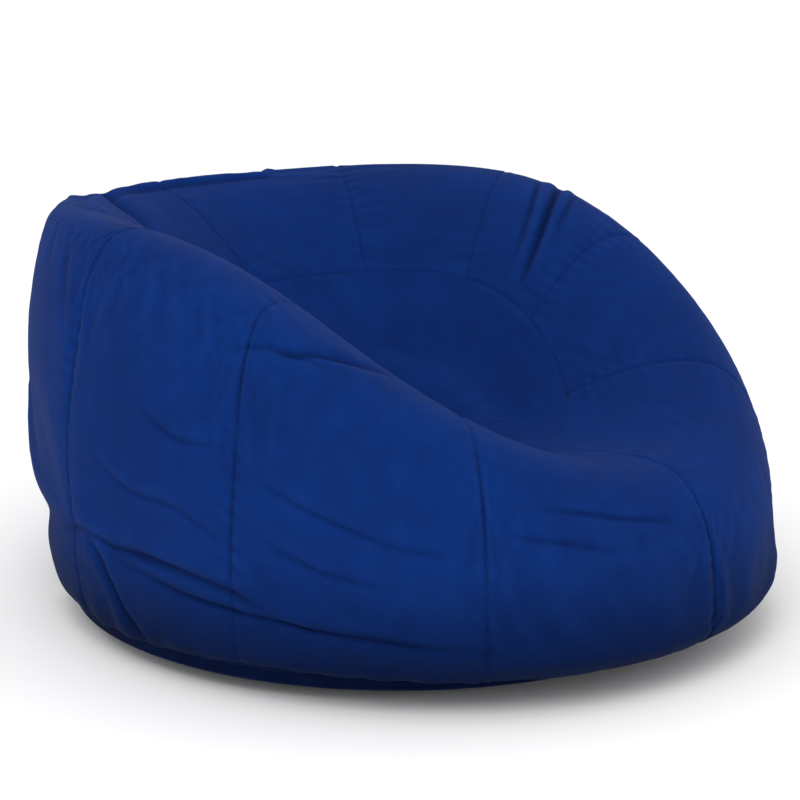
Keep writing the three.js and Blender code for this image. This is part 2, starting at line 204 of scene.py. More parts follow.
# ---------------------------------------------------------------- finishes
def scaled(colour: Colour, factor: float) -> Colour:
    """A colour made lighter or darker, no channel over 1."""
    return tuple(min(1.0, factor * channel) for channel in colour)


class Place(Enum):
    """Where a pattern is read from."""

    OBJECT = "Object"
    CLOTH = "UV"


@dataclass(frozen=True)
class WovenCloth:
    """Brushed twill: a fine diagonal weave under a short nap that shades as it is stroked."""

    name: str
    shade: Colour
    nap: Colour
    pale_tone: Colour
    weave_pitch: float = 0.0011
    weave_height: float = 0.00006
    roughness: float = 0.88
    sheen: float = 0.05
    sheen_tint: Colour = (0.35, 0.5, 0.95)
    gloss: float = 0.1
    cloud_scale: float = 5.5
    patch_scale: float = 33.0
    fibre_scale: float = 1400.0
    slub_scale: float = 240.0
    # The next two factors set how dark the painted shade in creases and the painted shade towards the bottom
    # of the bag get, as shares of the shade colour.
    crease_shade: float = 0.5
    bottom_shade_factor: float = 0.07

    def build(self) -> bpy.types.Material:
        """Make the material.

        Returns:
            The material.
        """
        graph = Graph(self.name)
        place = graph.signal("TexCoord", Place.OBJECT.value)
        cloth = graph.signal("TexCoord", Place.CLOTH.value)
        split = graph.node("SeparateXYZ", {}, {0: cloth})
        across, along = Signal(graph, split.outputs[0]), Signal(graph, split.outputs[1])
        clouds = graph.noise(place, self.cloud_scale, 4.0, 0.6)
        patches = graph.noise(place, self.patch_scale, 3.0, 0.5)
        fibres = graph.noise(place, self.fibre_scale, 2.0, 0.7)
        slubs = graph.noise(place, self.slub_scale, 3.0, 0.6)
        brushed = (clouds * 0.55 + patches * 0.25 + slubs * 0.2).ramp(0.32, 0.68)
        # Small ridges turn lighter: partly rubbed wear, partly a painted highlight where they catch the
        # light.
        wear_and_highlight = (graph.attribute("wear_and_highlight") * (patches.ramp(0.35, 0.75) * 0.7 + 0.3)).clamp()
        # Painted shade: the cloth darkens in hollows and creases, where shade falls.
        crease = graph.attribute("crease").clamp()
        body = graph.mix(brushed, self.shade, self.nap)
        body = graph.mix(wear_and_highlight * 0.55, body, self.pale_tone)
        body = graph.mix(crease * 0.75, body, scaled(self.shade, self.crease_shade))
        # Painted shade: the cloth darkens patchily towards the floor, to near black on the base, standing in
        # for the shade under the bag.
        bottom_shade = (graph.attribute("bottom_shade") * (patches * 0.3 + 0.8)).clamp()
        body = graph.mix(bottom_shade * 0.95, body, scaled(self.shade, self.bottom_shade_factor))
        twill = (across + along * 1.2).wave(self.weave_pitch)
        thread = (across - along * 0.8).wave(self.weave_pitch * 0.7)
        weave = twill * 0.65 + thread * 0.35
        grain = graph.mix((weave * 0.5 + fibres * 0.5).ramp(0.2, 0.8) * 0.16, body, self.pale_tone)
        shader = {
            "Base Color": grain, "Roughness": (self.roughness + (brushed - 0.5) * 0.1).clamp(),
            "Sheen Weight": self.sheen, "Sheen Roughness": 0.45, "Sheen Tint": (*self.sheen_tint, 1.0),
            "Specular IOR Level": self.gloss,
        }
        bumps = [(slubs, 0.00035), (weave, self.weave_height), (fibres, 0.00012)]
        return graph.finish(shader, bumps)


@dataclass(frozen=True)
class PlainPlastic:
    """Smooth moulded nylon, as zip coils and thread are made of."""

    name: str
    colour: Colour
    roughness: float = 0.42
    grain: float = 600.0
    gloss: float = 0.5

    def build(self) -> bpy.types.Material:
        """Make the material.

        Returns:
            The material.
        """
        graph = Graph(self.name)
        place = graph.signal("TexCoord", Place.OBJECT.value)
        speckle = graph.noise(place, self.grain, 3.0)
        cloud = graph.noise(place, 40.0, 2.0)
        light, dark = scaled(self.colour, 1.7), scaled(self.colour, 0.7)
        colour = graph.mix((cloud * 0.5 + speckle * 0.5).ramp(0.3, 0.7), dark, light)
        shader = {"Base Color": colour, "Roughness": self.roughness + (speckle - 0.5) * 0.25,
                  "Specular IOR Level": self.gloss}
        return graph.finish(shader, [(speckle, 0.00004)])


@dataclass(frozen=True)
class BrushedMetal:
    """Nickel plate over die-cast zinc, rubbed on its edges."""

    name: str
    colour: Colour
    roughness: float = 0.28

    def build(self) -> bpy.types.Material:
        """Make the material.

        Returns:
            The material.
        """
        graph = Graph(self.name)
        place = graph.signal("TexCoord", Place.OBJECT.value)
        streaked = graph.signal("Mapping", 0, {}, {0: place, "Scale": (300.0, 300.0, 2400.0)})
        streaks = graph.noise(streaked, 1.0, 3.0)
        smudges = graph.noise(place, 160.0, 3.0)
        colour = graph.mix(smudges.ramp(0.35, 0.7), scaled(self.colour, 0.72), self.colour)
        shader = {
            "Base Color": colour, "Metallic": 1.0,
            "Roughness": self.roughness + (smudges - 0.5) * 0.22 + (streaks - 0.5) * 0.12,
        }
        return graph.finish(shader, [(streaks, 0.00002)])


@dataclass(frozen=True)
class SatinRibbon:
    """Blank woven satin, for the care label."""

    name: str
    colour: Colour

    def build(self) -> bpy.types.Material:
        """Make the material.

        Returns:
            The material.
        """
        graph = Graph(self.name)
        place = graph.signal("TexCoord", Place.OBJECT.value)
        height = Signal(graph, graph.node("SeparateXYZ", {}, {0: place}).outputs[2])
        ribs = height.wave(0.0007)
        soil = graph.noise(place, 90.0, 4.0).ramp(0.45, 0.8)
        colour = graph.mix(soil * 0.35, self.colour, scaled(self.colour, 0.78))
        shader = {"Base Color": colour, "Roughness": 0.42 + ribs * 0.12, "Sheen Weight": 0.2}
        return graph.finish(shader, [(ribs, 0.00003)])


@dataclass(frozen=True)
class CellFoam:
    """Shredded foam: open cells, each shred its own shade of cream or tan."""

    name: str
    light: Colour
    dark: Colour
    shred_scale: float = 38.0
    cell_scale: float = 900.0

    def build(self) -> bpy.types.Material:
        """Make the material.

        Returns:
            The material.
        """
        graph = Graph(self.name)
        place = graph.signal("TexCoord", Place.OBJECT.value)
        shred_node = graph.node("TexVoronoi", {"feature": "F1"}, {"Vector": place, "Scale": self.shred_scale})
        to_edge = {"feature": "DISTANCE_TO_EDGE"}
        edge_node = graph.node("TexVoronoi", to_edge, {"Vector": place, "Scale": self.shred_scale})
        pick = Signal(graph, graph.node("SeparateColor", {}, {0: shred_node.outputs["Color"]}).outputs[0])
        edges = Signal(graph, edge_node.outputs[0]).ramp(0.0, 0.12)
        cells = graph.signal("TexVoronoi", 0, {"feature": "F1"}, {"Vector": place, "Scale": self.cell_scale})
        colour = graph.mix(pick, self.dark, self.light)
        # Painted shade in the gaps between shreds.
        colour = graph.mix((1 - edges) * 0.7, colour, scaled(self.dark, 0.35))
        shader = {"Base Color": colour, "Roughness": 0.95 - cells * 0.1}
        return graph.finish(shader, [(edges, 0.003), (cells, 0.0003)])


@dataclass(frozen=True)
class StudioPaper:
    """Matt white backdrop paper with a faint tooth."""

    name: str
    colour: Colour

    def build(self) -> bpy.types.Material:
        """Make the material.

        Returns:
            The material.
        """
        graph = Graph(self.name)
        place = graph.signal("TexCoord", Place.OBJECT.value)
        tooth = graph.noise(place, 300.0, 2.0)
        colour = graph.mix(tooth, scaled(self.colour, 0.985), self.colour)
        return graph.finish({"Base Color": colour, "Roughness": 0.9, "Specular IOR Level": 0.1})


Finish = WovenCloth | PlainPlastic | BrushedMetal | SatinRibbon | CellFoam | StudioPaper

ROYAL_BLUE = WovenCloth("royal_blue_twill", (0.0012, 0.0138, 0.094), (0.0022, 0.0218, 0.14),
                        (0.006, 0.036, 0.19), sheen=0.025, gloss=0.05)
LINER_CLOTH = WovenCloth("liner_calico", (0.55, 0.53, 0.47), (0.66, 0.64, 0.58), (0.75, 0.73, 0.68),
                         sheen=0.1, sheen_tint=(1.0, 1.0, 0.97))
NAVY_TAPE = WovenCloth("zip_tape_navy", (0.002, 0.009, 0.05), (0.004, 0.016, 0.08), (0.012, 0.035, 0.13),
                       weave_pitch=0.0006, sheen=0.03)
NAVY_COIL = PlainPlastic("zip_coil_navy", (0.006, 0.018, 0.08))
CREAM_COIL = PlainPlastic("liner_coil_cream", (0.62, 0.6, 0.54))
BLUE_THREAD = PlainPlastic("thread_blue", (0.0015, 0.014, 0.09), roughness=0.7, gloss=0.12)
NICKEL = BrushedMetal("zip_nickel", (0.62, 0.62, 0.63))
LABEL_RIBBON = SatinRibbon("label_satin_white", (0.8, 0.79, 0.75))
FOAM = CellFoam("foam_shreds", (0.86, 0.77, 0.5), (0.72, 0.5, 0.26))
BACKDROP = StudioPaper("studio_paper", (0.93, 0.93, 0.93))


class Palette:
    """Builds each finish once and hands it out."""

    def __init__(self) -> None:
        """Start with nothing mixed."""
        self._made: dict[str, bpy.types.Material] = {}

    def dress(self, piece: bpy.types.Object, finish: Finish) -> None:
        """Give a piece one finish all over.

        Args:
            piece: the object to dress.
            finish: the finish to use.
        """
        if finish.name not in self._made:
            self._made[finish.name] = finish.build()
        piece.data.materials.clear()
        piece.data.materials.append(self._made[finish.name])


PALETTE = Palette()


# ---------------------------------------------------------------- the bag's shape
def cosine_sum(terms: tuple[float, ...], turn: Array) -> Array:
    """A sum of cosines of the turn, in radians."""
    return sum(term * np.cos(order * turn) for order, term in enumerate(terms))


def on_circle(radius: Array | float, turn: Array, height: Array | float) -> Array:
    """Points about the bag's axis.

    Args:
        radius: distances from the axis.
        turn: turns in radians, 0 at the front.
        height: heights, of a shape that broadcasts with the others.

    Returns:
        An array with a last axis of x, y, z.
    """
    radius, turn, height = np.broadcast_arrays(radius, turn, height)
    return np.stack([radius * np.sin(turn), -radius * np.cos(turn), height], axis=-1)


@dataclass(frozen=True)
class BagShape:
    """The sat-in bag.

    A station runs from 0 to 1 up the band, to 2 at the belly, 3 at the crest and 4 at the seat.
    Turns are in radians about +Z, from 0 at the front, so 90 degrees is +X. Lengths are in metres.
    """

    crest_height: tuple[float, ...] = (0.407, -0.110, -0.055, -0.005)
    crest_radius: tuple[float, ...] = (0.363, -0.040, 0.042)
    belly_radius: tuple[float, ...] = (0.442, 0.001, 0.025)
    belly_height: tuple[float, ...] = (0.148, -0.078)
    band_radius: float = 0.396
    band_bottom: float = 0.0224
    band_top: float = 0.0364
    flat_radius: float = 0.318
    shoulder: float = 0.018
    seat_back: float = -0.020
    seat_height: float = 0.190
    lower_rounding: float = 1.25
    upper_rounding: float = 0.79
    crown_seam: float = 3.45

    def point(self, station: Array, turn: Array) -> Array:
        """Points on the outside of the cover.

        Args:
            station: stations, any shape.
            turn: turns in radians, of a shape that broadcasts with the stations.

        Returns:
            An array with a last axis of x, y, z.
        """
        station, turn = np.broadcast_arrays(np.asarray(station, float), np.asarray(turn, float))
        crest_z, crest_r = cosine_sum(self.crest_height, turn), cosine_sum(self.crest_radius, turn)
        belly_z, belly_r = cosine_sum(self.belly_height, turn), cosine_sum(self.belly_radius, turn)
        low = np.clip(station - 1, 0, 1) * np.pi / 2
        high = np.clip(station - 2, 0, 1) * np.pi / 2
        inward = np.clip(station - 3, 0, 1)
        low_out = np.abs(np.sin(low)) ** self.lower_rounding
        low_up = 1 - np.abs(np.cos(low)) ** self.lower_rounding
        high_out = np.abs(np.cos(high)) ** self.upper_rounding
        high_up = np.abs(np.sin(high)) ** self.upper_rounding
        drop = 0.5 - 0.5 * np.cos(np.pi * inward)
        band_z = self.band_bottom + (self.band_top - self.band_bottom) * np.clip(station, 0, 1)
        cases = [station <= 1, station <= 2, station <= 3]
        radius = np.select(cases, [
            np.full_like(turn, self.band_radius),
            self.band_radius + (belly_r - self.band_radius) * low_out,
            crest_r + (belly_r - crest_r) * high_out,
        ], crest_r * (1 - inward))
        height = np.select(cases, [
            band_z,
            self.band_top + (belly_z - self.band_top) * low_up,
            belly_z + (crest_z - belly_z) * high_up,
        ], crest_z + (self.seat_height - crest_z) * drop)
        back = self.seat_back * inward
        return np.stack([radius * np.sin(turn), back - radius * np.cos(turn), height], axis=-1)

    def base_slope(self) -> float:
        """How steeply the base rises outside its flat disc."""
        return self.shoulder / (self.band_radius - self.flat_radius)

    def stations(self, step: float, knots: tuple[float, ...]) -> Array:
        """Stations evenly spaced along the surface between knots, measured at the side of the bag.

        Args:
            step: the spacing in metres.
            knots: stations that have to be hit, from first to last.

        Returns:
            The stations.
        """
        found = [np.array(knots[:1])]
        for start, end in zip(knots, knots[1:]):
            fine = np.linspace(start, end, 400)
            steps = np.linalg.norm(np.diff(self.point(fine, np.radians(70)), axis=0), axis=1)
            length = np.concatenate([[0.0], np.cumsum(steps)])
            count = max(2, round(length[-1] / step))
            found.append(np.interp(np.linspace(0, length[-1], count + 1)[1:], length, fine))
        return np.concatenate(found)


SHAPE = BagShape()


def grid_normals(points: Array) -> Array:
    """Outward normals of a grid whose rows run from the crown down and whose columns go round.

    Args:
        points: rows by columns by 3, columns wrapped.

    Returns:
        Unit normals of the same shape.
    """
    along = np.gradient(points, axis=0)
    around = np.roll(points, -1, axis=1) - np.roll(points, 1, axis=1)
    normal = np.cross(along, around)
    length = np.linalg.norm(normal, axis=-1, keepdims=True)
    return np.where(length > 1e-9, normal / np.maximum(length, 1e-9), np.array([0.0, 0.0, 1.0]))


def doubled_rows(values: Array) -> Array:
    """Put a smooth new row between each two, by the four-point rule.

    Args:
        values: a grid, rows first.

    Returns:
        The grid with twice the rows, less one.
    """
    padded = np.concatenate([2 * values[:1] - values[1:2], values, 2 * values[-1:] - values[-2:-1]])
    between = (9 * (padded[1:-2] + padded[2:-1]) - (padded[:-3] + padded[3:])) / 16
    woven = np.empty((2 * len(values) - 1, *values.shape[1:]))
    woven[0::2], woven[1::2] = values, between
    return woven


def doubled_columns(values: Array) -> Array:
    """Put a smooth new column between each two of a wrapped grid.

    Args:
        values: a grid, rows first, whose last column meets its first.

    Returns:
        The grid with twice the columns.
    """
    around = [np.roll(values, shift, axis=1) for shift in (1, 0, -1, -2)]
    between = (9 * (around[1] + around[2]) - (around[0] + around[3])) / 16
    woven = np.empty((values.shape[0], 2 * values.shape[1], *values.shape[2:]))
    woven[:, 0::2], woven[:, 1::2] = values, between
    return woven


def smoothed(values: Array, rounds: int) -> Array:
    """Average a wrapped grid with its neighbours.

    Args:
        values: a grid, rows first, whose last column meets its first.
        rounds: how many times.

    Returns:
        The smoother grid, its first and last rows free only along themselves.
    """
    for _ in range(rounds):
        values = 0.5 * values + 0.25 * (np.roll(values, 1, axis=1) + np.roll(values, -1, axis=1))
        inner = 0.5 * values[1:-1] + 0.25 * (values[:-2] + values[2:])
        values = np.concatenate([values[:1], inner, values[-1:]])
    return values


# ---------------------------------------------------------------- mesh helpers
CORE_RADIUS = 0.28
CORE_HEIGHT = 0.12


def deselect_all() -> None:
    """Leave nothing selected, in object mode."""
    if bpy.context.mode != "OBJECT":
        bpy.ops.object.mode_set(mode="OBJECT")
    bpy.ops.object.select_all(action="DESELECT")


def activate(piece: bpy.types.Object) -> None:
    """Select one object and make it active.

    Args:
        piece: the object.
    """
    deselect_all()
    piece.select_set(True)
    bpy.context.view_layer.objects.active = piece


def named(name: str) -> bpy.types.Object:
    """Name the object that an operator has just made, and clear its place into its mesh.

    Args:
        name: the piece's name.

    Returns:
        The active object.
    """
    piece = bpy.context.object
    piece.name = name
    piece.data.name = name
    activate(piece)
    bpy.ops.object.transform_apply(location=True, rotation=True, scale=True)
    return piece


def edit(piece: bpy.types.Object, mode: str = "FACE", action: str = "DESELECT") -> None:
    """Open a piece in edit mode.

    Args:
        piece: the object to open.
        mode: what is selected: VERT, EDGE or FACE.
        action: SELECT for all of it, DESELECT for none.
    """
    activate(piece)
    bpy.ops.object.mode_set(mode="EDIT")
    bpy.ops.mesh.select_mode(type=mode)
    bpy.ops.mesh.select_all(action=action)


def leave_edit() -> None:
    """Go back to object mode."""
    bpy.ops.object.mode_set(mode="OBJECT")


def apply_modifier(piece: bpy.types.Object, kind: str, **settings: object) -> None:
    """Add a modifier, set it and apply it.

    Args:
        piece: the object to change.
        kind: the modifier's type.
        **settings: the modifier's settings.
    """
    activate(piece)
    modifier = piece.modifiers.new(kind.title(), kind)
    for key, value in settings.items():
        setattr(modifier, key, value)
    bpy.ops.object.modifier_apply(modifier=modifier.name)


def smooth(piece: bpy.types.Object, degrees: float = 50.0) -> None:
    """Shade a piece smooth, but for edges sharper than an angle."""
    activate(piece)
    bpy.ops.object.shade_smooth_by_angle(angle=math.radians(degrees))


def vertex_array(piece: bpy.types.Object) -> Array:
    """A piece's vertices as an array.

    Args:
        piece: the piece.

    Returns:
        Vertices by 3.
    """
    flat = np.empty(len(piece.data.vertices) * 3)
    piece.data.vertices.foreach_get("co", flat)
    return flat.reshape(-1, 3)


def set_vertices(piece: bpy.types.Object, points: Array) -> None:
    """Move a piece's vertices to an array of points."""
    piece.data.vertices.foreach_set("co", np.ascontiguousarray(points, dtype=np.float64).ravel())
    piece.data.update()


def set_number(piece: bpy.types.Object, name: str, values: Array) -> None:
    """Store a number on every vertex of a piece.

    Args:
        piece: the piece.
        name: the attribute's name.
        values: one number a vertex, in any shape.
    """
    layer = piece.data.attributes.new(name, "FLOAT", "POINT")
    layer.data.foreach_set("value", np.asarray(values, dtype=np.float32).ravel())


def cloth_from_grid(name: str, points: Array, closed: bool = False,
                    numbers: dict[str, Array] | None = None) -> bpy.types.Object:
    """Shape a grid primitive into a piece of cloth.

    Args:
        name: the piece's name.
        points: rows by columns by 3. A closed cloth repeats its first column as its last.
        closed: join the first and last column, and any row drawn to a point.
        numbers: attribute name to rows by columns of values.

    Returns:
        The cloth, with a UV map in metres and its faces outward when rows run down and columns go round.
    """
    rows, columns = points.shape[:2]
    deselect_all()
    bpy.ops.mesh.primitive_grid_add(x_subdivisions=columns - 1, y_subdivisions=rows - 1, size=1.0)
    piece = named(name)
    set_vertices(piece, points.reshape(-1, 3))
    for key, values in (numbers or {}).items():
        set_number(piece, key, values)
    middle = points[rows // 2]
    across = np.concatenate([[0.0], np.cumsum(np.linalg.norm(np.diff(middle, axis=0), axis=1))])
    side = points[:, columns // 2]
    along = np.concatenate([[0.0], np.cumsum(np.linalg.norm(np.diff(side, axis=0), axis=1))])
    corner = np.empty(len(piece.data.loops), dtype=np.int32)
    piece.data.loops.foreach_get("vertex_index", corner)
    uv = np.stack([across[corner % columns], along[corner // columns]], axis=-1)
    piece.data.uv_layers.active.data.foreach_set("uv", uv.astype(np.float32).ravel())
    if closed:
        edit(piece, "VERT", "SELECT")
        bpy.ops.mesh.remove_doubles(threshold=MERGE_DISTANCE)
        leave_edit()
    turn_outward(piece)
    return piece


def turn_outward(piece: bpy.types.Object) -> None:
    """Flip a sheet if its faces look towards the inside of the bag.

    Args:
        piece: the sheet, still without thickness.
    """
    normals = np.empty(len(piece.data.polygons) * 3)
    centres = np.empty_like(normals)
    piece.data.polygons.foreach_get("normal", normals)
    piece.data.polygons.foreach_get("center", centres)
    # A ring under the crest, wholly inside the filling, is what every sheet looks away from.
    centres = centres.reshape(-1, 3)
    round_axis = centres * (1, 1, 0)
    reach = np.linalg.norm(round_axis, axis=1, keepdims=True)
    core = round_axis / np.maximum(reach, 1e-6) * CORE_RADIUS + (0, 0, CORE_HEIGHT)
    if ((centres - core) * normals.reshape(-1, 3)).sum() < 0:
        edit(piece, "FACE", "SELECT")
        bpy.ops.mesh.flip_normals()
        leave_edit()


def pick_faces(piece: bpy.types.Object, test: Callable[[Vector, Vector], bool]) -> None:
    """Open a piece in edit mode with some faces selected.

    Args:
        piece: the object to open.
        test: says from a face's centre and normal whether it is selected.
    """
    edit(piece, "FACE")
    leave_edit()
    for polygon in piece.data.polygons:
        polygon.select = test(polygon.center, polygon.normal)
    bpy.ops.object.mode_set(mode="EDIT")


def pick_vertices(piece: bpy.types.Object, test: Callable[[Vector], bool]) -> None:
    """Open a piece in edit mode with some vertices selected.

    Args:
        piece: the object to open.
        test: says from a vertex's place whether it is selected.
    """
    edit(piece, "VERT")
    leave_edit()
    for vertex in piece.data.vertices:
        vertex.select = test(vertex.co)
    bpy.ops.object.mode_set(mode="EDIT")


def block(name: str, low: Corner, high: Corner) -> bpy.types.Object:
    """Add a cube primitive between two corners, to be shaped further.

    Args:
        name: the piece's name.
        low: its lowest corner.
        high: its highest corner.

    Returns:
        The block.
    """
    deselect_all()
    middle = [(a + b) / 2 for a, b in zip(low, high)]
    bpy.ops.mesh.primitive_cube_add(size=1.0, location=middle, scale=[b - a for a, b in zip(low, high)])
    return named(name)


def subdivided(piece: bpy.types.Object, cuts: int) -> Array:
    """Cut every edge of a piece.

    Args:
        piece: the object to cut.
        cuts: how many cuts each edge gets.

    Returns:
        Its vertices, to be moved.
    """
    edit(piece, "FACE", "SELECT")
    bpy.ops.mesh.subdivide(number_cuts=cuts)
    leave_edit()
    return vertex_array(piece)


def rounded(piece: bpy.types.Object, width: float, segments: int = 2) -> bpy.types.Object:
    """Round a piece's sharp edges.

    Args:
        piece: the object to round.
        width: how wide the rounding is.
        segments: how many faces it has across.

    Returns:
        The same piece.
    """
    apply_modifier(piece, "BEVEL", width=width, segments=segments, limit_method="ANGLE",
                   angle_limit=math.radians(40))
    return piece


def thickened(piece: bpy.types.Object, thickness: float, offset: float = -1.0,
              degrees: float = 50.0) -> None:
    """Give a sheet its thickness and shade it.

    Args:
        piece: the sheet.
        thickness: its thickness.
        offset: -1 to grow inward, 0 to grow both ways.
        degrees: edges sharper than this stay sharp.
    """
    apply_modifier(piece, "SOLIDIFY", thickness=thickness, offset=offset, use_rim=True)
    smooth(piece, degrees)


def joined(name: str, pieces: list[bpy.types.Object]) -> bpy.types.Object:
    """Join several pieces into the first.

    Args:
        name: the joined piece's name.
        pieces: what to join.

    Returns:
        The joined piece.
    """
    deselect_all()
    for piece in pieces:
        piece.select_set(True)
    bpy.context.view_layer.objects.active = pieces[0]
    if len(pieces) > 1:
        bpy.ops.object.join()
    whole = bpy.context.view_layer.objects.active
    whole.name = name
    whole.data.name = name
    return whole


def turn_about_axis(piece: bpy.types.Object, turn: float) -> None:
    """Carry a piece made at +X round the bag's axis.

    Args:
        piece: the piece.
        turn: where it goes, in degrees.
    """
    activate(piece)
    piece.rotation_euler.z = math.radians(turn - 90)
    bpy.ops.object.transform_apply(location=True, rotation=True, scale=True)


def copies_of(pattern: bpy.types.Object, name: str, places: list[Matrix]) -> bpy.types.Object:
    """Copy a small shape to many places, each copy with its own mesh, and join the copies.

    Args:
        pattern: the shape, modelled at the origin. It is removed.
        name: the new piece's name.
        places: a matrix for each copy.

    Returns:
        The new piece.
    """
    copies = []
    for place in places:
        copy = pattern.copy()
        copy.data = pattern.data.copy()
        copy.data.transform(place)
        bpy.context.collection.objects.link(copy)
        copies.append(copy)
    bpy.data.objects.remove(pattern)
    piece = joined(name, copies)
    smooth(piece, 70)
    return piece


def along_line(spots: Array, length: Array, values: Array) -> Array:
    """Three-part values read off a line at given lengths.

    Args:
        spots: the lengths to read at.
        length: the length at each of the line's points.
        values: the line's values, points by 3.

    Returns:
        The values at the spots.
    """
    return np.stack([np.interp(spots, length, values[:, axis]) for axis in range(3)], axis=1)


def frame_at(place: Array, forward: Array, out: Array) -> Matrix:
    """A matrix that stands a small shape on a surface.

    Args:
        place: where it goes.
        forward: the way its X axis points.
        out: roughly the way its Z axis points.

    Returns:
        The matrix.
    """
    forward = forward / np.linalg.norm(forward)
    side = np.cross(out, forward)
    side = side / np.linalg.norm(side)
    up = np.cross(forward, side)
    matrix = np.eye(4)
    matrix[:3, 0], matrix[:3, 1], matrix[:3, 2], matrix[:3, 3] = forward, side, up, place
    return Matrix(matrix.tolist())


def finish_piece(piece: bpy.types.Object, finish: Finish, slot: str, *nodes: str, body: str = BODY) -> None:
    """Dress a piece, set what it rides on, hide the CAD parts that it replaces, and report it.

    Args:
        piece: the finished piece.
        finish: its finish.
        slot: not used.
        *nodes: CAD nodes that the piece replaces.
        body: the CAD body that it rides on.
    """
    PALETTE.dress(piece, finish)
    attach(piece, body)
    if nodes:
        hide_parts(*nodes)
    LOG.info("%s: %d faces, rides on %s", piece.name, len(piece.data.polygons), body)


def cloth_area(points: Array) -> float:
    """The area of a grid of points.

    Args:
        points: rows by columns by 3.

    Returns:
        The area in square metres.
    """
    a, b, c, d = points[:-1, :-1], points[1:, :-1], points[1:, 1:], points[:-1, 1:]
    halves = np.cross(b - a, c - a), np.cross(c - a, d - a)
    return float(sum(np.linalg.norm(half, axis=-1).sum() / 2 for half in halves))


# ---------------------------------------------------------------- cover cloth
@dataclass(frozen=True)
class Fold:
    """One pressed-in crease.

    The cloth above it hangs over as a soft lip, or rises on both sides where there is no sag. The
    path is (turn in degrees, station) pairs.
    """

    path: tuple[tuple[float, float], ...]
    depth: float
    width: float
    lip: float = 0.45
    sag: float = 0.5

    def line(self, shape: BagShape) -> tuple[Array, Array]:
        """Points along the crease and how strong it is at each.

        Args:
            shape: the bag that it lies on.

        Returns:
            The points, and a strength from 0 to 1 for each.
        """
        turn, station = np.array(self.path).T
        knots = np.arange(len(turn))
        fine = np.linspace(0, knots[-1], 24 * len(turn))
        way = np.stack([np.interp(fine, knots, turn), np.interp(fine, knots, station)])
        for _ in range(60):
            way[:, 1:-1] = 0.5 * way[:, 1:-1] + 0.25 * (way[:, :-2] + way[:, 2:])
        points = shape.point(way[1], np.radians(way[0]))
        share = fine / knots[-1]
        return points, np.sin(np.pi * np.clip(share, 0, 1)) ** 0.7

    def press(self, rest: Array, shape: BagShape) -> tuple[Array, Array]:
        """How far every point moves outward and downward.

        Args:
            rest: the smooth bag's points.
            shape: the bag.

        Returns:
            Two arrays in metres: outward (negative in the crease) and down.
        """
        line, strength = self.line(shape)
        width, reach = self.width, 4 * self.width
        low, high = line.min(axis=0) - reach, line.max(axis=0) + reach
        near = np.all((rest > low) & (rest < high), axis=-1)
        outward, down = np.zeros(rest.shape[:-1]), np.zeros(rest.shape[:-1])
        places = rest[near]
        if not len(places):
            return outward, down
        gaps = np.linalg.norm(places[:, None] - line[None], axis=-1)
        nearest = gaps.argmin(axis=1)
        distance = gaps[np.arange(len(places)), nearest]
        level = line[nearest, 2]
        side = np.where((places[:, 2] > level) | (self.sag == 0), 1.0, -1.0)
        signed = distance * side
        power = strength[nearest]
        sharp = np.exp(-(signed / (0.55 * width)) ** 2)
        broad = np.exp(-(signed / (1.3 * width)) ** 2)
        lip = np.exp(-((signed - 1.5 * width) / width) ** 2)
        hang = np.exp(-((signed - 1.1 * width) / (1.2 * width)) ** 2)
        outward[near] = power * self.depth * (self.lip * lip - 0.65 * sharp - 0.35 * broad)
        down[near] = power * self.depth * self.sag * hang
        return outward, down


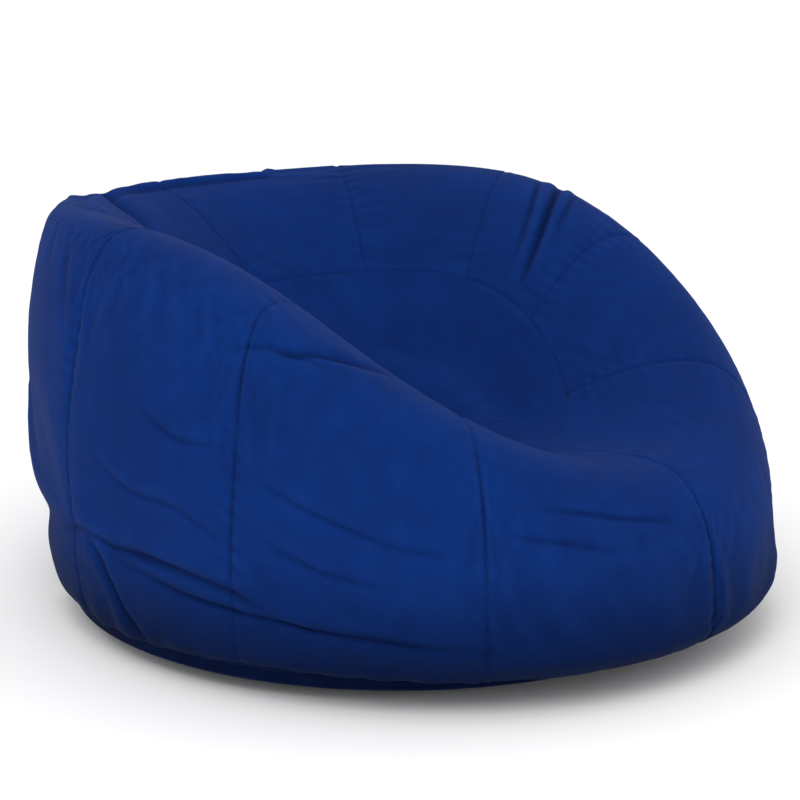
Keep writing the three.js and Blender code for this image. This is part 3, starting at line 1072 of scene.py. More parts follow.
FOLDS = (
    Fold(((-114, 1.78), (-104, 1.955), (-96.6, 1.999), (-92, 2.005), (-88, 2.01), (-79, 2.015), (-71, 2.015),
          (-66, 2.008), (-60, 2.002)), 0.0075, 0.009, 0.35),
    Fold(((-100, 1.89), (-88, 1.9), (-81, 1.89), (-69, 1.94), (-62, 1.999), (-57, 2.002), (-50, 2.005),
          (-42, 2.005), (-33, 2.004)), 0.0085, 0.009, 0.3),
    Fold(((-172, 1.6), (-153, 1.63), (-136, 1.63), (-120, 1.74), (-104, 1.94)), 0.014, 0.045, 0.0, 0.0),
    Fold(((-103, 1.93), (-99.5, 1.82), (-97, 1.665), (-95, 1.515), (-92, 1.38), (-89, 1.28)),
         0.006, 0.008, 0.35, 0.0),
    Fold(((-126, 1.36), (-122, 1.24), (-118, 1.12)), 0.005, 0.007, 0.35, 0.0),
    Fold(((-92, 1.2), (-78, 1.29), (-63, 1.33), (-47, 1.34), (-31, 1.3), (-14, 1.22)),
         0.006, 0.011, 0.25, 0.3),
    Fold(((-100, 2.13), (-92, 2.1), (-82, 2.12), (-73, 2.09)), 0.003, 0.008),
    Fold(((-67, 2.72), (-62, 2.86), (-56, 2.96), (-49, 3.06)), 0.006, 0.009),
    Fold(((-75, 2.62), (-69, 2.74), (-62, 2.8), (-55, 2.86)), 0.004, 0.009),
    Fold(((-29, 2.52), (-21, 2.55), (-12, 2.54), (-5, 2.5)), 0.005, 0.008),
    Fold(((-33, 2.36), (-25, 2.38), (-16, 2.36)), 0.004, 0.008),
    Fold(((-90, 2.3), (-82, 2.27), (-74, 2.31)), 0.003, 0.008),
    Fold(((-70, 2.27), (-60, 2.24), (-48, 2.22), (-40, 2.24)), 0.0035, 0.008),
    Fold(((-68, 2.13), (-58, 2.1), (-47, 2.11)), 0.0035, 0.009),
    Fold(((-166, 3.02), (-162, 3.15), (-158, 3.3)), 0.010, 0.022, 0.3, 0.0),
    Fold(((95, 2.9), (92, 3.04), (89, 3.16), (86, 3.28), (83.5, 3.41)), 0.009, 0.008, 0.5, 0.0),
    Fold(((100, 2.96), (96.5, 3.09), (93, 3.22), (90.5, 3.35)), 0.003, 0.007, 0.5, 0.0),
    Fold(((89, 2.97), (85.5, 3.1), (82, 3.23)), 0.0025, 0.007, 0.5, 0.0),
    Fold(((-140, 3.05), (-136, 3.2), (-131, 3.36)), 0.004, 0.009, 0.5, 0.0),
    Fold(((18, 1.72), (32, 1.86), (47, 1.93), (60, 1.93), (71, 1.86)), 0.008, 0.010),
    Fold(((66, 1.6), (80, 1.75), (95, 1.88), (109, 1.9)), 0.008, 0.011),
    Fold(((112, 1.62), (126, 1.8), (141, 1.86), (152, 1.82)), 0.009, 0.011),
    Fold(((150, 1.55), (163, 1.66), (176, 1.7), (188, 1.64)), 0.009, 0.011),
    Fold(((186, 1.84), (197, 1.92), (208, 1.9)), 0.006, 0.010),
    Fold(((40, 2.2), (52, 2.26), (63, 2.24)), 0.004, 0.009),
    Fold(((118, 2.3), (130, 2.34), (141, 2.3)), 0.004, 0.010),
    Fold(((166, 2.28), (177, 2.34), (190, 2.32)), 0.004, 0.010),
)


@dataclass
class CoverCloth:
    """The whole cover as one cloth, blown and creased, that the panels are cut from.

    Rows run from the seat down to the base. The fine grid has more rows and columns than the grid
    that is simulated. Growth, pressure and gravity set how the cloth billows between its seams.
    """

    shape: BagShape = SHAPE
    columns: int = 320
    step: float = 0.0082
    crowding: float = 0.5
    row_crowding: float = 0.3
    growth: float = 0.03
    seam_growth_share: float = 0.45
    pressure: float = 0.6
    gravity: float = 0.1
    frames: int = 14
    largest_move: float = 0.014
    seam_depth: float = 0.0013
    seam_width: float = 0.0032
    pucker_height: float = 0.0009
    pucker_pitch: float = 0.019
    pucker_reach: float = 0.020
    zip_turns: tuple[float, float] = (72.0, 216.0)
    zip_headroom: float = 0.0352
    inner_gap: float = 0.008
    row_scale: int = 4
    column_scale: int = 2
    hem_ripple: float = 0.0016
    # Painted shade: the cloth is darkened below the first of these heights, growing darker over the second
    # towards the floor.
    bottom_shade_top: float = 0.16
    bottom_shade_reach: float = 0.12
    rows: Array = field(init=False, repr=False)
    seam_row: int = field(init=False)
    band_row: int = field(init=False)
    fine_seam_row: int = field(init=False)
    fine_band_row: int = field(init=False)
    fine_columns: int = field(init=False)
    stations_fine: Array = field(init=False, repr=False)
    points: Array = field(init=False, repr=False)
    normals: Array = field(init=False, repr=False)
    inner: tuple[Array, Array] = field(init=False, repr=False)
    numbers: dict[str, Array] = field(init=False, repr=False)

    def __post_init__(self) -> None:
        """Lay out the rows and columns."""
        knots = (4.0, self.shape.crown_seam, 1.0, 0.0)
        self.rows = self.shape.stations(self.step, knots)
        edges = [int(np.argmin(np.abs(self.rows - knot))) for knot in knots]
        crowded = self.rows.copy()
        for first, last in zip(edges, edges[1:]):
            place = np.linspace(0, 1, last - first + 1)
            moved = self.crowded(place, self.row_crowding)
            crowded[first:last + 1] = np.interp(moved, place, self.rows[first:last + 1])
        self.rows = crowded
        self.seam_row, self.band_row = edges[1], edges[2]
        self.fine_seam_row = self.row_scale * self.seam_row
        self.fine_band_row = self.row_scale * self.band_row
        self.fine_columns = self.column_scale * self.columns

    @staticmethod
    def crowded(place: Array, share: float) -> Array:
        """Move places from 0 to 1 towards both ends."""
        return place - share * np.sin(2 * np.pi * place) / (2 * np.pi)

    def turns(self, columns: int) -> Array:
        """Column turns in radians, closer together at the seams.

        Args:
            columns: how many columns there are.

        Returns:
            A turn for each column.
        """
        place = np.arange(columns) / columns * GORES
        whole = np.floor(place)
        return np.radians((whole + self.crowded(place - whole, self.crowding)) * GORE_TURN)

    def _mesh(self) -> tuple[bpy.types.Object, Array]:
        """Make the closed cloth to simulate.

        Returns:
            The cloth, and for each vertex its place in the grid with one extra column.
        """
        rest = self.shape.point(self.rows[:, None], self.turns(self.columns)[None])
        wrapped = np.concatenate([rest, rest[:, :1]], axis=1)
        order = np.arange(wrapped.shape[0] * wrapped.shape[1], dtype=float)
        cloth = cloth_from_grid("cover_cloth", wrapped, True, {"grid_place": order})
        place = np.empty(len(cloth.data.vertices), dtype=np.float32)
        cloth.data.attributes["grid_place"].data.foreach_get("value", place)
        return cloth, place.round().astype(int)

    def _filling(self) -> bpy.types.Object:
        """Make the firm shape inside that the cloth can't pass.

        Returns:
            The shape, with its collision set.
        """
        rows = self.shape.stations(0.02, (4.0, 1.0, 0.0))
        turn = np.radians(np.arange(121) * 3.0)
        points = self.shape.point(rows[:, None], turn[None])
        normal = grid_normals(points[:, :-1])
        normal = np.concatenate([normal, normal[:, :1]], axis=1)
        fill = cloth_from_grid("cloth_support", points - normal * self.inner_gap, True)
        fill.modifiers.new("Collision", "COLLISION")
        fill.collision.thickness_outer = 0.002
        fill.collision.cloth_friction = 5.0
        return fill

    def _dress_cloth(self, cloth: bpy.types.Object) -> bpy.types.Modifier:
        """Add the cloth modifier, soft enough to billow and stiff enough to keep its seams.

        Args:
            cloth: the cloth, with its vertex groups.

        Returns:
            The modifier.
        """
        modifier = cloth.modifiers.new("Cloth", "CLOTH")
        settings = modifier.settings
        wanted = {
            "quality": 5, "mass": 0.25, "air_damping": 2.0, "tension_stiffness": 20.0,
            "compression_stiffness": 10.0, "shear_stiffness": 8.0, "bending_stiffness": 2.0,
            "use_pressure": True, "uniform_pressure_force": self.pressure,
            "shrink_min": -self.growth, "shrink_max": -self.growth * self.seam_growth_share,
            "vertex_group_shrink": "seams", "vertex_group_mass": "pinned",
        }
        for key, value in wanted.items():
            setattr(settings, key, value)
        settings.effector_weights.gravity = self.gravity
        modifier.collision_settings.distance_min = 0.003
        modifier.collision_settings.collision_quality = 2
        modifier.point_cache.frame_end = self.frames
        return modifier

    def simulate(self) -> Array:
        """Blow the cloth over its filling, with its seams holding it in.

        Returns:
            Rows by columns of points, no further than largest_move from the smooth bag.
        """
        rest = self.shape.point(self.rows[:, None], self.turns(self.columns)[None])
        cloth, place = self._mesh()
        fill = self._filling()
        row, column = place // (self.columns + 1), place % (self.columns + 1)
        pinned = cloth.vertex_groups.new(name="pinned")
        pinned.add(np.nonzero(row >= self.band_row)[0].tolist(), 1.0, "REPLACE")
        seams = cloth.vertex_groups.new(name="seams")
        gore = self.columns // GORES
        sewn = (column % gore == 0) & (row >= self.seam_row) | (row == self.seam_row)
        seams.add(np.nonzero(sewn)[0].tolist(), 1.0, "REPLACE")
        modifier = self._dress_cloth(cloth)
        for step in range(1, self.frames + 1):
            bpy.context.scene.frame_set(step)
        activate(cloth)
        bpy.ops.object.modifier_apply(modifier=modifier.name)
        bpy.context.scene.frame_set(1)
        moved = rest.copy()
        moved[row, column % self.columns] = vertex_array(cloth)
        moved[0] = moved[0].mean(axis=0) if (row == 0).sum() > 1 else vertex_array(cloth)[row == 0][0]
        bpy.data.objects.remove(cloth)
        bpy.data.objects.remove(fill)
        step_out = moved - rest
        length = np.linalg.norm(step_out, axis=-1, keepdims=True)
        eased = self.largest_move * np.tanh(length / self.largest_move)
        LOG.info("cover cloth blown: typical move %.1f mm", 1000 * float(np.sqrt((eased ** 2).mean())))
        return rest + step_out * eased / np.maximum(length, 1e-9)

    def _seam_distance(self, points: Array, stations: Array) -> tuple[Array, Array, Array]:
        """How far each point of the fine grid lies from its nearest gore seam.

        Args:
            points: the fine grid.
            stations: the fine rows.

        Returns:
            The distance, the length along the seam, and the seam's number.
        """
        columns = points.shape[1]
        place = np.arange(columns) / columns * GORES
        seam = np.round(place).astype(int) % GORES
        turn_away = np.abs((np.degrees(self.turns(columns)) + 18) % GORE_TURN - 18)
        radius = np.linalg.norm(points[..., :2], axis=-1)
        distance = radius * np.radians(turn_away)[None]
        steps = np.linalg.norm(np.diff(points, axis=0), axis=-1)
        along = np.concatenate([np.zeros((1, columns)), np.cumsum(steps, axis=0)])
        below = (stations <= self.shape.crown_seam + 1e-6)[:, None]
        return np.where(below, distance, 1.0), along, np.broadcast_to(seam[None], distance.shape)

    def crease(self) -> None:
        """Finish the cloth: simulate it, press it into its folds and gather it at its seams."""
        low = self.simulate()
        points = doubled_rows(doubled_rows(doubled_columns(low)))
        stations = doubled_rows(doubled_rows(self.rows))
        top_rows = np.linspace(stations[0], stations[self.row_scale], self.row_scale + 1)
        stations[:self.row_scale] = top_rows[:-1]
        fine_turns = self.turns(self.fine_columns)
        rest = self.shape.point(stations[:, None], fine_turns[None])
        normal = grid_normals(smoothed(points, 2))
        outward, down = np.zeros(points.shape[:2]), np.zeros(points.shape[:2])
        for fold in FOLDS:
            out, fall = fold.press(rest, self.shape)
            outward += out
            down += fall
        distance, along, seam = self._seam_distance(points, stations)
        rng = np.random.default_rng(7)
        phase = rng.uniform(0, 2 * np.pi, GORES)[seam]
        pitch = self.pucker_pitch * rng.uniform(0.85, 1.2, GORES)[seam]
        wander = np.sin(along * 23 + phase) * 1.1 + np.sin(along * 61 + 2 * phase) * 0.6
        strength = 0.65 + 0.35 * np.sin(along * 17 + 3 * phase)
        pucker = np.cos(2 * np.pi * along / pitch + phase + wander - distance / 0.02)
        near_seam = np.exp(-distance / self.pucker_reach) * (1 - np.exp(-(distance / 0.004) ** 2) * 0.5)
        outward += self.pucker_height * strength * pucker * near_seam
        outward -= self.seam_depth * np.exp(-(distance / self.seam_width) ** 2)
        crown_gap = np.linalg.norm(rest - rest[self.fine_seam_row][None], axis=-1)
        outward -= 0.8 * self.seam_depth * np.exp(-(crown_gap / self.seam_width) ** 2)
        hem = np.clip(stations[:, None] - 1, 0, None)
        gather = np.exp(-((hem - 0.32) / 0.22) ** 2)
        ripple = np.sin(58 * fine_turns + 2.2 * np.sin(5 * fine_turns))
        ripple = ripple * (0.5 + 0.5 * np.sin(7 * fine_turns + 1))
        outward += self.hem_ripple * gather * ripple[None]
        held = np.clip((stations[:, None] - 1.0) / 0.12, 0, 1)
        points = points + normal * (outward * held)[..., None]
        points[..., 2] -= down * held
        zip_start, zip_end = np.radians(self.zip_turns)
        over_zip = (fine_turns >= zip_start) & (fine_turns <= zip_end)
        swept = over_zip[None] & (stations >= 1)[:, None]
        points[..., 2] = np.where(swept, np.maximum(points[..., 2], self.zip_headroom), points[..., 2])
        points[0] = points[0].mean(axis=0)
        normal = grid_normals(smoothed(points, 3))
        hollow = ((smoothed(points, 6) - points) * normal).sum(axis=-1)
        self.stations_fine = stations
        self.numbers = {
            # Painted shade in hollows and creases.
            "crease": np.clip(hollow / 0.0016, 0, 1),
            # Lighter on small ridges: partly wear, partly a painted highlight.
            "wear_and_highlight": np.clip(-hollow / 0.0014, 0, 1) * 0.8,
            # Painted shade, darker towards the floor.
            "bottom_shade": np.clip((self.bottom_shade_top - points[..., 2]) / self.bottom_shade_reach, 0, 1) ** 1.05,
        }
        self.inner = self._inner_surface(points, rest)
        self.points = points
        self.normals = normal

    @staticmethod
    def _inner_surface(points: Array, rest: Array) -> tuple[Array, Array]:
        """A smoother surface that stays inside every crease, for the layers below.

        Args:
            points: the finished cloth.
            rest: the smooth bag.

        Returns:
            The surface and its normals.
        """
        normal = grid_normals(rest)
        out = ((points - rest) * normal).sum(axis=-1)
        for _ in range(6):
            out = np.minimum(out, np.minimum(np.roll(out, 1, axis=1), np.roll(out, -1, axis=1)))
            for _ in range(2):
                out[1:-1] = np.minimum(out[1:-1], np.minimum(out[:-2], out[2:]))
        out = smoothed(out[..., None], 10)[..., 0]
        return rest + normal * out[..., None], normal

    def area(self, first: int, last: int, left: int, right: int) -> float:
        """The smooth bag's area over part of the fine grid.

        Args:
            first: the first row.
            last: the last row.
            left: the first column.
            right: the last column.

        Returns:
            The area in square metres.
        """
        turn = np.concatenate([self.turns(self.fine_columns), [2 * np.pi]])
        rest = self.shape.point(self.stations_fine[first:last + 1, None], turn[None, left:right + 1])
        return cloth_area(rest)


# ---------------------------------------------------------------- cover
@dataclass
class Cover:
    """The outer cover: ten gores, a crown, a base, their thread and a blank label."""

    cloth: CoverCloth
    thickness: float = 0.0013
    edge_gap: float = 0.0002
    base_rim_top: float = 0.022
    base_bulge: float = 0.0012
    base_swell: float = 0.0011
    base_pleat: float = 0.0009
    crown_row_step: int = 2
    zip_gores: tuple[int, ...] = (2, 3, 4, 5)
    stitch_pitch: float = 0.0042
    stitch_length: float = 0.0029
    stitch_radius: float = 0.00027
    stitch_sight: float = 0.001
    stitch_lift: float = 0.0001

    def side_panel(self, gore: int) -> bpy.types.Object:
        """Cut one gore from the cloth.

        Args:
            gore: its number, from 0 at the front.

        Returns:
            The panel.
        """
        cloth = self.cloth
        wide = cloth.fine_columns // GORES
        first = cloth.fine_seam_row
        last = cloth.fine_band_row if gore in self.zip_gores else len(cloth.stations_fine) - 1
        columns = (np.arange(gore * wide, (gore + 1) * wide + 1)) % cloth.fine_columns
        points = cloth.points[first:last + 1][:, columns].copy()
        for edge, inner in ((0, 1), (-1, -2)):
            way = points[:, inner] - points[:, edge]
            points[:, edge] += way / np.linalg.norm(way, axis=-1, keepdims=True) * self.edge_gap
        way = points[1] - points[0]
        points[0] += way / np.linalg.norm(way, axis=-1, keepdims=True) * self.edge_gap
        numbers = {key: values[first:last + 1][:, columns] for key, values in cloth.numbers.items()}
        name = f"side_panel_cloth_{gore + 1:02d}"
        piece = cloth_from_grid(name, points, False, numbers)
        thickened(piece, self.thickness, degrees=60)
        finish_piece(piece, ROYAL_BLUE, "cover_fabric", f"side_panel_{gore + 1:02d}")
        area = cloth.area(first, last, gore * wide, (gore + 1) * wide)
        return piece

    def crown(self) -> bpy.types.Object:
        """Cut the round crown panel, whose middle is the seat.

        Returns:
            The panel.
        """
        cloth = self.cloth
        last = cloth.fine_seam_row
        points = cloth.points[:last + 1:self.crown_row_step].copy()
        way = points[-2] - points[-1]
        points[-1] += way / np.linalg.norm(way, axis=-1, keepdims=True) * self.edge_gap
        closed = np.concatenate([points, points[:, :1]], axis=1)
        kept = {key: values[:last + 1:self.crown_row_step] for key, values in cloth.numbers.items()}
        numbers = {key: np.concatenate([values, values[:, :1]], axis=1) for key, values in kept.items()}
        piece = cloth_from_grid("crown_panel_cloth", closed, True, numbers)
        thickened(piece, self.thickness, degrees=60)
        finish_piece(piece, ROYAL_BLUE, "cover_fabric", "crown_panel")
        area = cloth.area(0, last, 0, cloth.fine_columns)
        return piece

    def base(self) -> bpy.types.Object:
        """Make the base: a flat disc, a sloping border and a rim that turns up to the seam.

        Returns:
            The base.
        """
        shape = self.cloth.shape
        outer, flat_radius = shape.band_radius, shape.flat_radius
        rim = [(outer, z) for z in np.linspace(self.base_rim_top, shape.shoulder + 0.003, 4)]
        rise = np.linspace(1, 0, 22)[1:]
        bulge = self.base_bulge * np.sin(np.pi * rise)
        turned = [(flat_radius + (outer - flat_radius) * t, max(0.0, shape.shoulder * t - d))
                  for t, d in zip(rise, bulge)]
        flat = [(r, 0.0) for r in np.linspace(flat_radius, 0, 32)[1:]]
        profile = np.array(rim + [(outer - 0.0007, shape.shoulder + 0.0008)] + turned + flat)
        turn = np.radians(np.linspace(0, 360, 321))
        ring = on_circle(profile[:, :1], turn[None], profile[:, 1:])
        x, y, height = ring[..., 0], ring[..., 1], ring[..., 2].copy()
        radius = np.broadcast_to(profile[:, :1], height.shape)
        swell = np.sin(31 * x + 2 * np.sin(17 * y)) * np.sin(27 * y + 1.5 * np.sin(23 * x))
        inside = np.clip((flat_radius - 0.01 - radius) / 0.05, 0, 1)
        height += self.base_swell * np.clip(swell, 0, 1) * inside
        pleat = np.sin(46 * turn + 2 * np.sin(3 * turn)) * (0.6 + 0.4 * np.sin(5 * turn))
        slope = np.clip((radius - flat_radius) / (outer - flat_radius), 0, 1)
        height += self.base_pleat * (1 + pleat[None]) * np.sin(np.pi * slope) ** 2
        grid = np.stack([x, y, height], axis=-1)
        # The whole base gets the full painted shade, as dark as the shade under the bag.
        piece = cloth_from_grid("base_panel_cloth", grid, True, {"bottom_shade": np.ones(grid.shape[:2])})
        thickened(piece, self.thickness, degrees=60)
        finish_piece(piece, ROYAL_BLUE, "cover_fabric", "base_panel")
        border = math.hypot(outer - flat_radius, shape.shoulder) + self.base_rim_top - shape.shoulder
        across = 2 * (flat_radius + border)
        math.pi * across ** 2 / 4
        return piece

    def _stitch(self) -> bpy.types.Object:
        """Model one stitch of thread, lying along X.

        Returns:
            The stitch, at the origin.
        """
        deselect_all()
        bpy.ops.mesh.primitive_cylinder_add(vertices=6, radius=self.stitch_radius,
                                            depth=self.stitch_length, rotation=(0, math.pi / 2, 0))
        stitch = named("stitch")
        pick_faces(stitch, lambda centre, normal: abs(normal.x) > 0.9)
        bpy.ops.mesh.inset(thickness=self.stitch_radius * 0.5, depth=0.0)
        bpy.ops.mesh.select_all(action="DESELECT")
        leave_edit()
        pick_vertices(stitch, lambda place: abs(place.x) > 0.49 * self.stitch_length)
        bpy.ops.transform.resize(value=(1.0, 0.75, 0.75), center_override=(0, 0, 0))
        bpy.ops.transform.translate(value=(0, 0, -self.stitch_radius * 0.9))
        leave_edit()
        return stitch

    def thread(self) -> bpy.types.Object:
        """Lay the seam thread in every seam's groove.

        Returns:
            All of the stitches as one piece.
        """
        cloth = self.cloth
        wide = cloth.fine_columns // GORES
        ring = cloth.fine_seam_row
        lines = [(cloth.points[ring:, gore * wide], cloth.normals[ring:, gore * wide])
                 for gore in range(GORES)]
        lines.append((np.concatenate([cloth.points[ring], cloth.points[ring, :1]]),
                      np.concatenate([cloth.normals[ring], cloth.normals[ring, :1]])))
        places = []
        for points, normals in lines:
            steps = np.linalg.norm(np.diff(points, axis=0), axis=1)
            length = np.concatenate([[0], np.cumsum(steps)])
            spots = np.arange(self.stitch_pitch, length[-1] - self.stitch_pitch, self.stitch_pitch)
            here, out = along_line(spots, length, points), along_line(spots, length, normals)
            ahead = along_line(spots + self.stitch_sight, length, points)
            places += [frame_at(h + o * self.stitch_lift, a - h, o) for h, a, o in zip(here, ahead, out)]
        piece = copies_of(self._stitch(), "seam_thread", places)
        finish_piece(piece, BLUE_THREAD, "cover_fabric")
        return piece

    def build(self) -> None:
        """Build the cover's pieces in order."""
        for gore in range(GORES):
            self.side_panel(gore)
        self.crown()
        self.base()
        self.thread()


@dataclass
class CareLabel:
    """A blank satin ribbon, folded double and sewn in beside the zip."""

    turn: float = 222.0
    width: float = 0.030
    top: float = 0.0335
    drop: float = 0.027
    inner_radius: float = 0.3969
    thickness: float = 0.00014
    curl: float = 0.0007

    def build(self) -> bpy.types.Object:
        """Fold the ribbon, hang it and dress it.

        Returns:
            The ribbon.
        """
        down = np.linspace(self.top, self.top - self.drop + 0.0003, 16)
        bend = np.radians(np.linspace(-60, 60, 5))
        fold_z = self.top - self.drop + 0.0003
        heights = np.concatenate([down, fold_z - 0.0003 * np.cos(bend), down[::-1]])
        out = np.concatenate([np.full(16, 0.0), 0.0002 + 0.0002 * np.sin(bend), np.full(16, 0.0004)])
        sideways = np.linspace(-self.width / 2, self.width / 2, 13)
        fall = (self.top - heights) / self.drop
        bow = self.curl * fall ** 2
        cockle = 0.0002 * np.cos(sideways * 260)[None] * fall[:, None]
        radial = self.inner_radius + (out + bow)[:, None] + cockle
        grid = np.stack([radial, np.broadcast_to(sideways, radial.shape),
                         np.broadcast_to(heights[:, None], radial.shape)], axis=-1)
        piece = cloth_from_grid("care_label_ribbon", grid)
        thickened(piece, self.thickness, 0.0, 40)
        turn_about_axis(piece, self.turn)
        finish_piece(piece, LABEL_RIBBON, "label_satin", "care_label")
        return piece


# ---------------------------------------------------------------- zips
@dataclass
class ZipTooth:
    """One turn of a nylon coil: a flattened ring with a widened head towards the slit."""

    reach: float
    depth: float
    wire: float = 0.22
    lean: float = 0.00030

    def build(self) -> bpy.types.Object:
        """Model the tooth in the X-Z plane: X through the tape, Z towards the slit.

        Returns:
            The tooth, at the origin.
        """
        deselect_all()
        bpy.ops.mesh.primitive_torus_add(major_segments=10, minor_segments=4, major_radius=1.0,
                                         minor_radius=self.wire, rotation=(math.pi / 2, 0, 0))
        tooth = named("tooth")
        span = 1 + self.wire
        points = vertex_array(tooth)
        points *= (self.depth / 2 / span, 0.00125, self.reach / 2 / span)
        set_vertices(tooth, points)
        pick_vertices(tooth, lambda place: place.z > 0.2 * self.reach)
        bpy.ops.transform.resize(value=(0.92, 1.45, 1.0), center_override=(0, 0, 0))
        leave_edit()
        pick_vertices(tooth, lambda place: place.x > 0)
        bpy.ops.transform.translate(value=(0, self.lean, 0))
        leave_edit()
        return tooth


@dataclass
class CoverZip:
    """The long zip in the base seam: woven tapes, coils, stops, slider and pull."""

    start: float = 72.3
    end: float = 215.7
    coil_start: float = 74.2
    coil_end: float = 213.8
    middle: float = 0.0292
    slit: float = 0.0006
    coil_reach: float = 0.0018
    tape_radius: float = 0.3956
    coil_radius: float = 0.39525
    coil_depth: float = 0.0025
    tape_thickness: float = 0.0006
    pitch: float = 0.0016
    slider_turn: float = 76.0
    stop_turns: tuple[float, float] = (73.45, 214.55)
    stitch_radius: float = 0.0002
    stitch_length: float = 0.0019
    stitch_degrees: float = 0.38
    stitch_lines: tuple[float, float] = (0.0036, -0.0036)

    def tape(self, upper: bool) -> bpy.types.Object:
        """Weave one tape, from the seam to inside its coil.

        Args:
            upper: the tape above the slit, or the one below.

        Returns:
            The tape.
        """
        side = 1 if upper else -1
        degrees = np.concatenate([np.linspace(self.start - 1.3, self.start, 5)[:-1],
                                  np.linspace(self.start, self.end, 481),
                                  np.linspace(self.end, self.end + 1.3, 5)[1:]])
        turn = np.radians(degrees)
        beyond = np.clip(np.maximum(self.start - degrees, degrees - self.end) / 0.35 + 1, 0, 1)
        out = np.array([0.0118, 0.0100, 0.0082, 0.0072, 0.0062, 0.0045, 0.0032, 0.0021, 0.0013])
        radius = np.array([-0.0018, -0.0018, -0.0017, -0.0010, 0.0, 0.0002, -0.0001, -0.0004, -0.0004])
        radius = radius + self.tape_radius
        height = self.middle + side * out
        rows = list(zip(radius, height))[::side]
        wave = 0.00006 * np.sin(turn * 90)
        behind = self.tape_radius - 0.0018
        spans = [(r + (behind - r) * beyond * (r > behind) + wave, z) for r, z in rows]
        grid = np.stack([on_circle(r, turn, z) for r, z in spans])
        name = f"zip_tape_{'upper' if upper else 'lower'}_weave"
        piece = cloth_from_grid(name, grid)
        thickened(piece, self.tape_thickness)
        finish_piece(piece, NAVY_TAPE, "zip_tape", f"cover_zip_tape_{'upper' if upper else 'lower'}")
        self._cut(grid)
        return piece

    @staticmethod
    def _cut(grid: Array) -> tuple[float, float]:
        """The flat width and length of a strip given as rows along it.

        Args:
            grid: rows by columns by 3.

        Returns:
            The width and the length in metres.
        """
        width = float(np.linalg.norm(np.diff(grid[:, 0], axis=0), axis=-1).sum())
        length = float(np.linalg.norm(np.diff(grid[0], axis=0), axis=-1).sum())
        LOG.info("strip is cut %.1f x %.0f mm", 1000 * width, 1000 * length)
        return width, length

    def guard(self) -> bpy.types.Object:
        """Hang the flap that keeps the liner out of the coils, from the inside of the gores.

        Returns:
            The flap.
        """
        turn = np.radians(np.linspace(self.start - 0.8, self.end + 0.8, 361))
        height = np.array([0.0400, 0.0385, 0.0370, 0.0350, 0.0320, 0.0290, 0.0260, 0.0235])
        radius = np.array([0.3936, 0.3924, 0.3910, 0.3903, 0.3901, 0.3901, 0.3902, 0.3903])
        wave = 0.0002 * np.sin(turn * 37)
        grid = np.stack([on_circle(r + wave, turn, z) for r, z in zip(radius, height)])
        piece = cloth_from_grid("zip_guard_flap", grid)
        thickened(piece, self.tape_thickness)
        finish_piece(piece, NAVY_TAPE, "zip_tape")
        self._cut(grid)
        return piece

    def coil(self, upper: bool) -> bpy.types.Object:
        """Wind one coil from its teeth.

        Args:
            upper: the coil above the slit, or the one below.

        Returns:
            The coil.
        """
        side = 1 if upper else -1
        centre = self.middle + side * (self.slit / 2 + self.coil_reach / 2)
        step = math.degrees(self.pitch / self.coil_radius)
        turns = np.arange(self.coil_start + (0.5 * step if upper else 0), self.coil_end, step)
        places = []
        for turn in turns:
            spin = Matrix.Rotation(math.radians(turn - 90), 4, "Z")
            flip = Matrix.Rotation(math.pi, 4, "X") if upper else Matrix.Identity(4)
            places.append(spin @ Matrix.Translation((self.coil_radius, 0, centre)) @ flip)
        tooth = ZipTooth(self.coil_reach, self.coil_depth).build()
        name = f"zip_coil_{'upper' if upper else 'lower'}_teeth"
        piece = copies_of(tooth, name, places)
        finish_piece(piece, NAVY_COIL, "zip_coil", f"cover_zip_coil_{'upper' if upper else 'lower'}")
        return piece

    def tape_stitching(self) -> bpy.types.Object:
        """Sew each tape down with a row of thread beside its coil.

        Returns:
            All of the stitches as one piece.
        """
        deselect_all()
        bpy.ops.mesh.primitive_cylinder_add(vertices=6, radius=self.stitch_radius, depth=self.stitch_length,
                                            rotation=(0, math.pi / 2, 0))
        stitch = named("tape_stitch")
        pick_vertices(stitch, lambda place: abs(place.x) > 0.0009)
        bpy.ops.transform.resize(value=(1.0, 0.7, 0.7), center_override=(0, 0, 0))
        bpy.ops.transform.translate(value=(0, 0, -0.00012))
        leave_edit()
        places = []
        for height in self.stitch_lines:
            for turn in np.radians(np.arange(self.start + 0.4, self.end - 0.4, self.stitch_degrees)):
                out = np.array([math.sin(turn), -math.cos(turn), 0.0])
                along = np.array([math.cos(turn), math.sin(turn), 0.0])
                spot = out * (self.tape_radius + self.stitch_radius) + (0, 0, self.middle + height)
                places.append(frame_at(spot, along, out))
        piece = copies_of(stitch, "zip_tape_stitching", places)
        finish_piece(piece, BLUE_THREAD, "zip_tape")
        return piece

    def stop(self, name: str, turn: float) -> bpy.types.Object:
        """Crimp one metal stop over both coils.

        Args:
            name: the stop's CAD node.
            turn: where it sits, in degrees.

        Returns:
            The stop.
        """
        low = (0.39405, -0.0023, self.middle - 0.0020)
        high = (0.3969, 0.0023, self.middle + 0.0020)
        stop = block(f"{name}_crimp", low, high)
        pick_faces(stop, lambda centre, normal: normal.x > 0.9)
        bpy.ops.mesh.inset(thickness=0.0007, depth=0.0)
        bpy.ops.transform.translate(value=(-0.00035, 0, 0))
        leave_edit()
        rounded(stop, 0.00035, 3)
        smooth(stop, 35)
        turn_about_axis(stop, turn)
        finish_piece(stop, NICKEL, "zip_metal", name)
        return stop

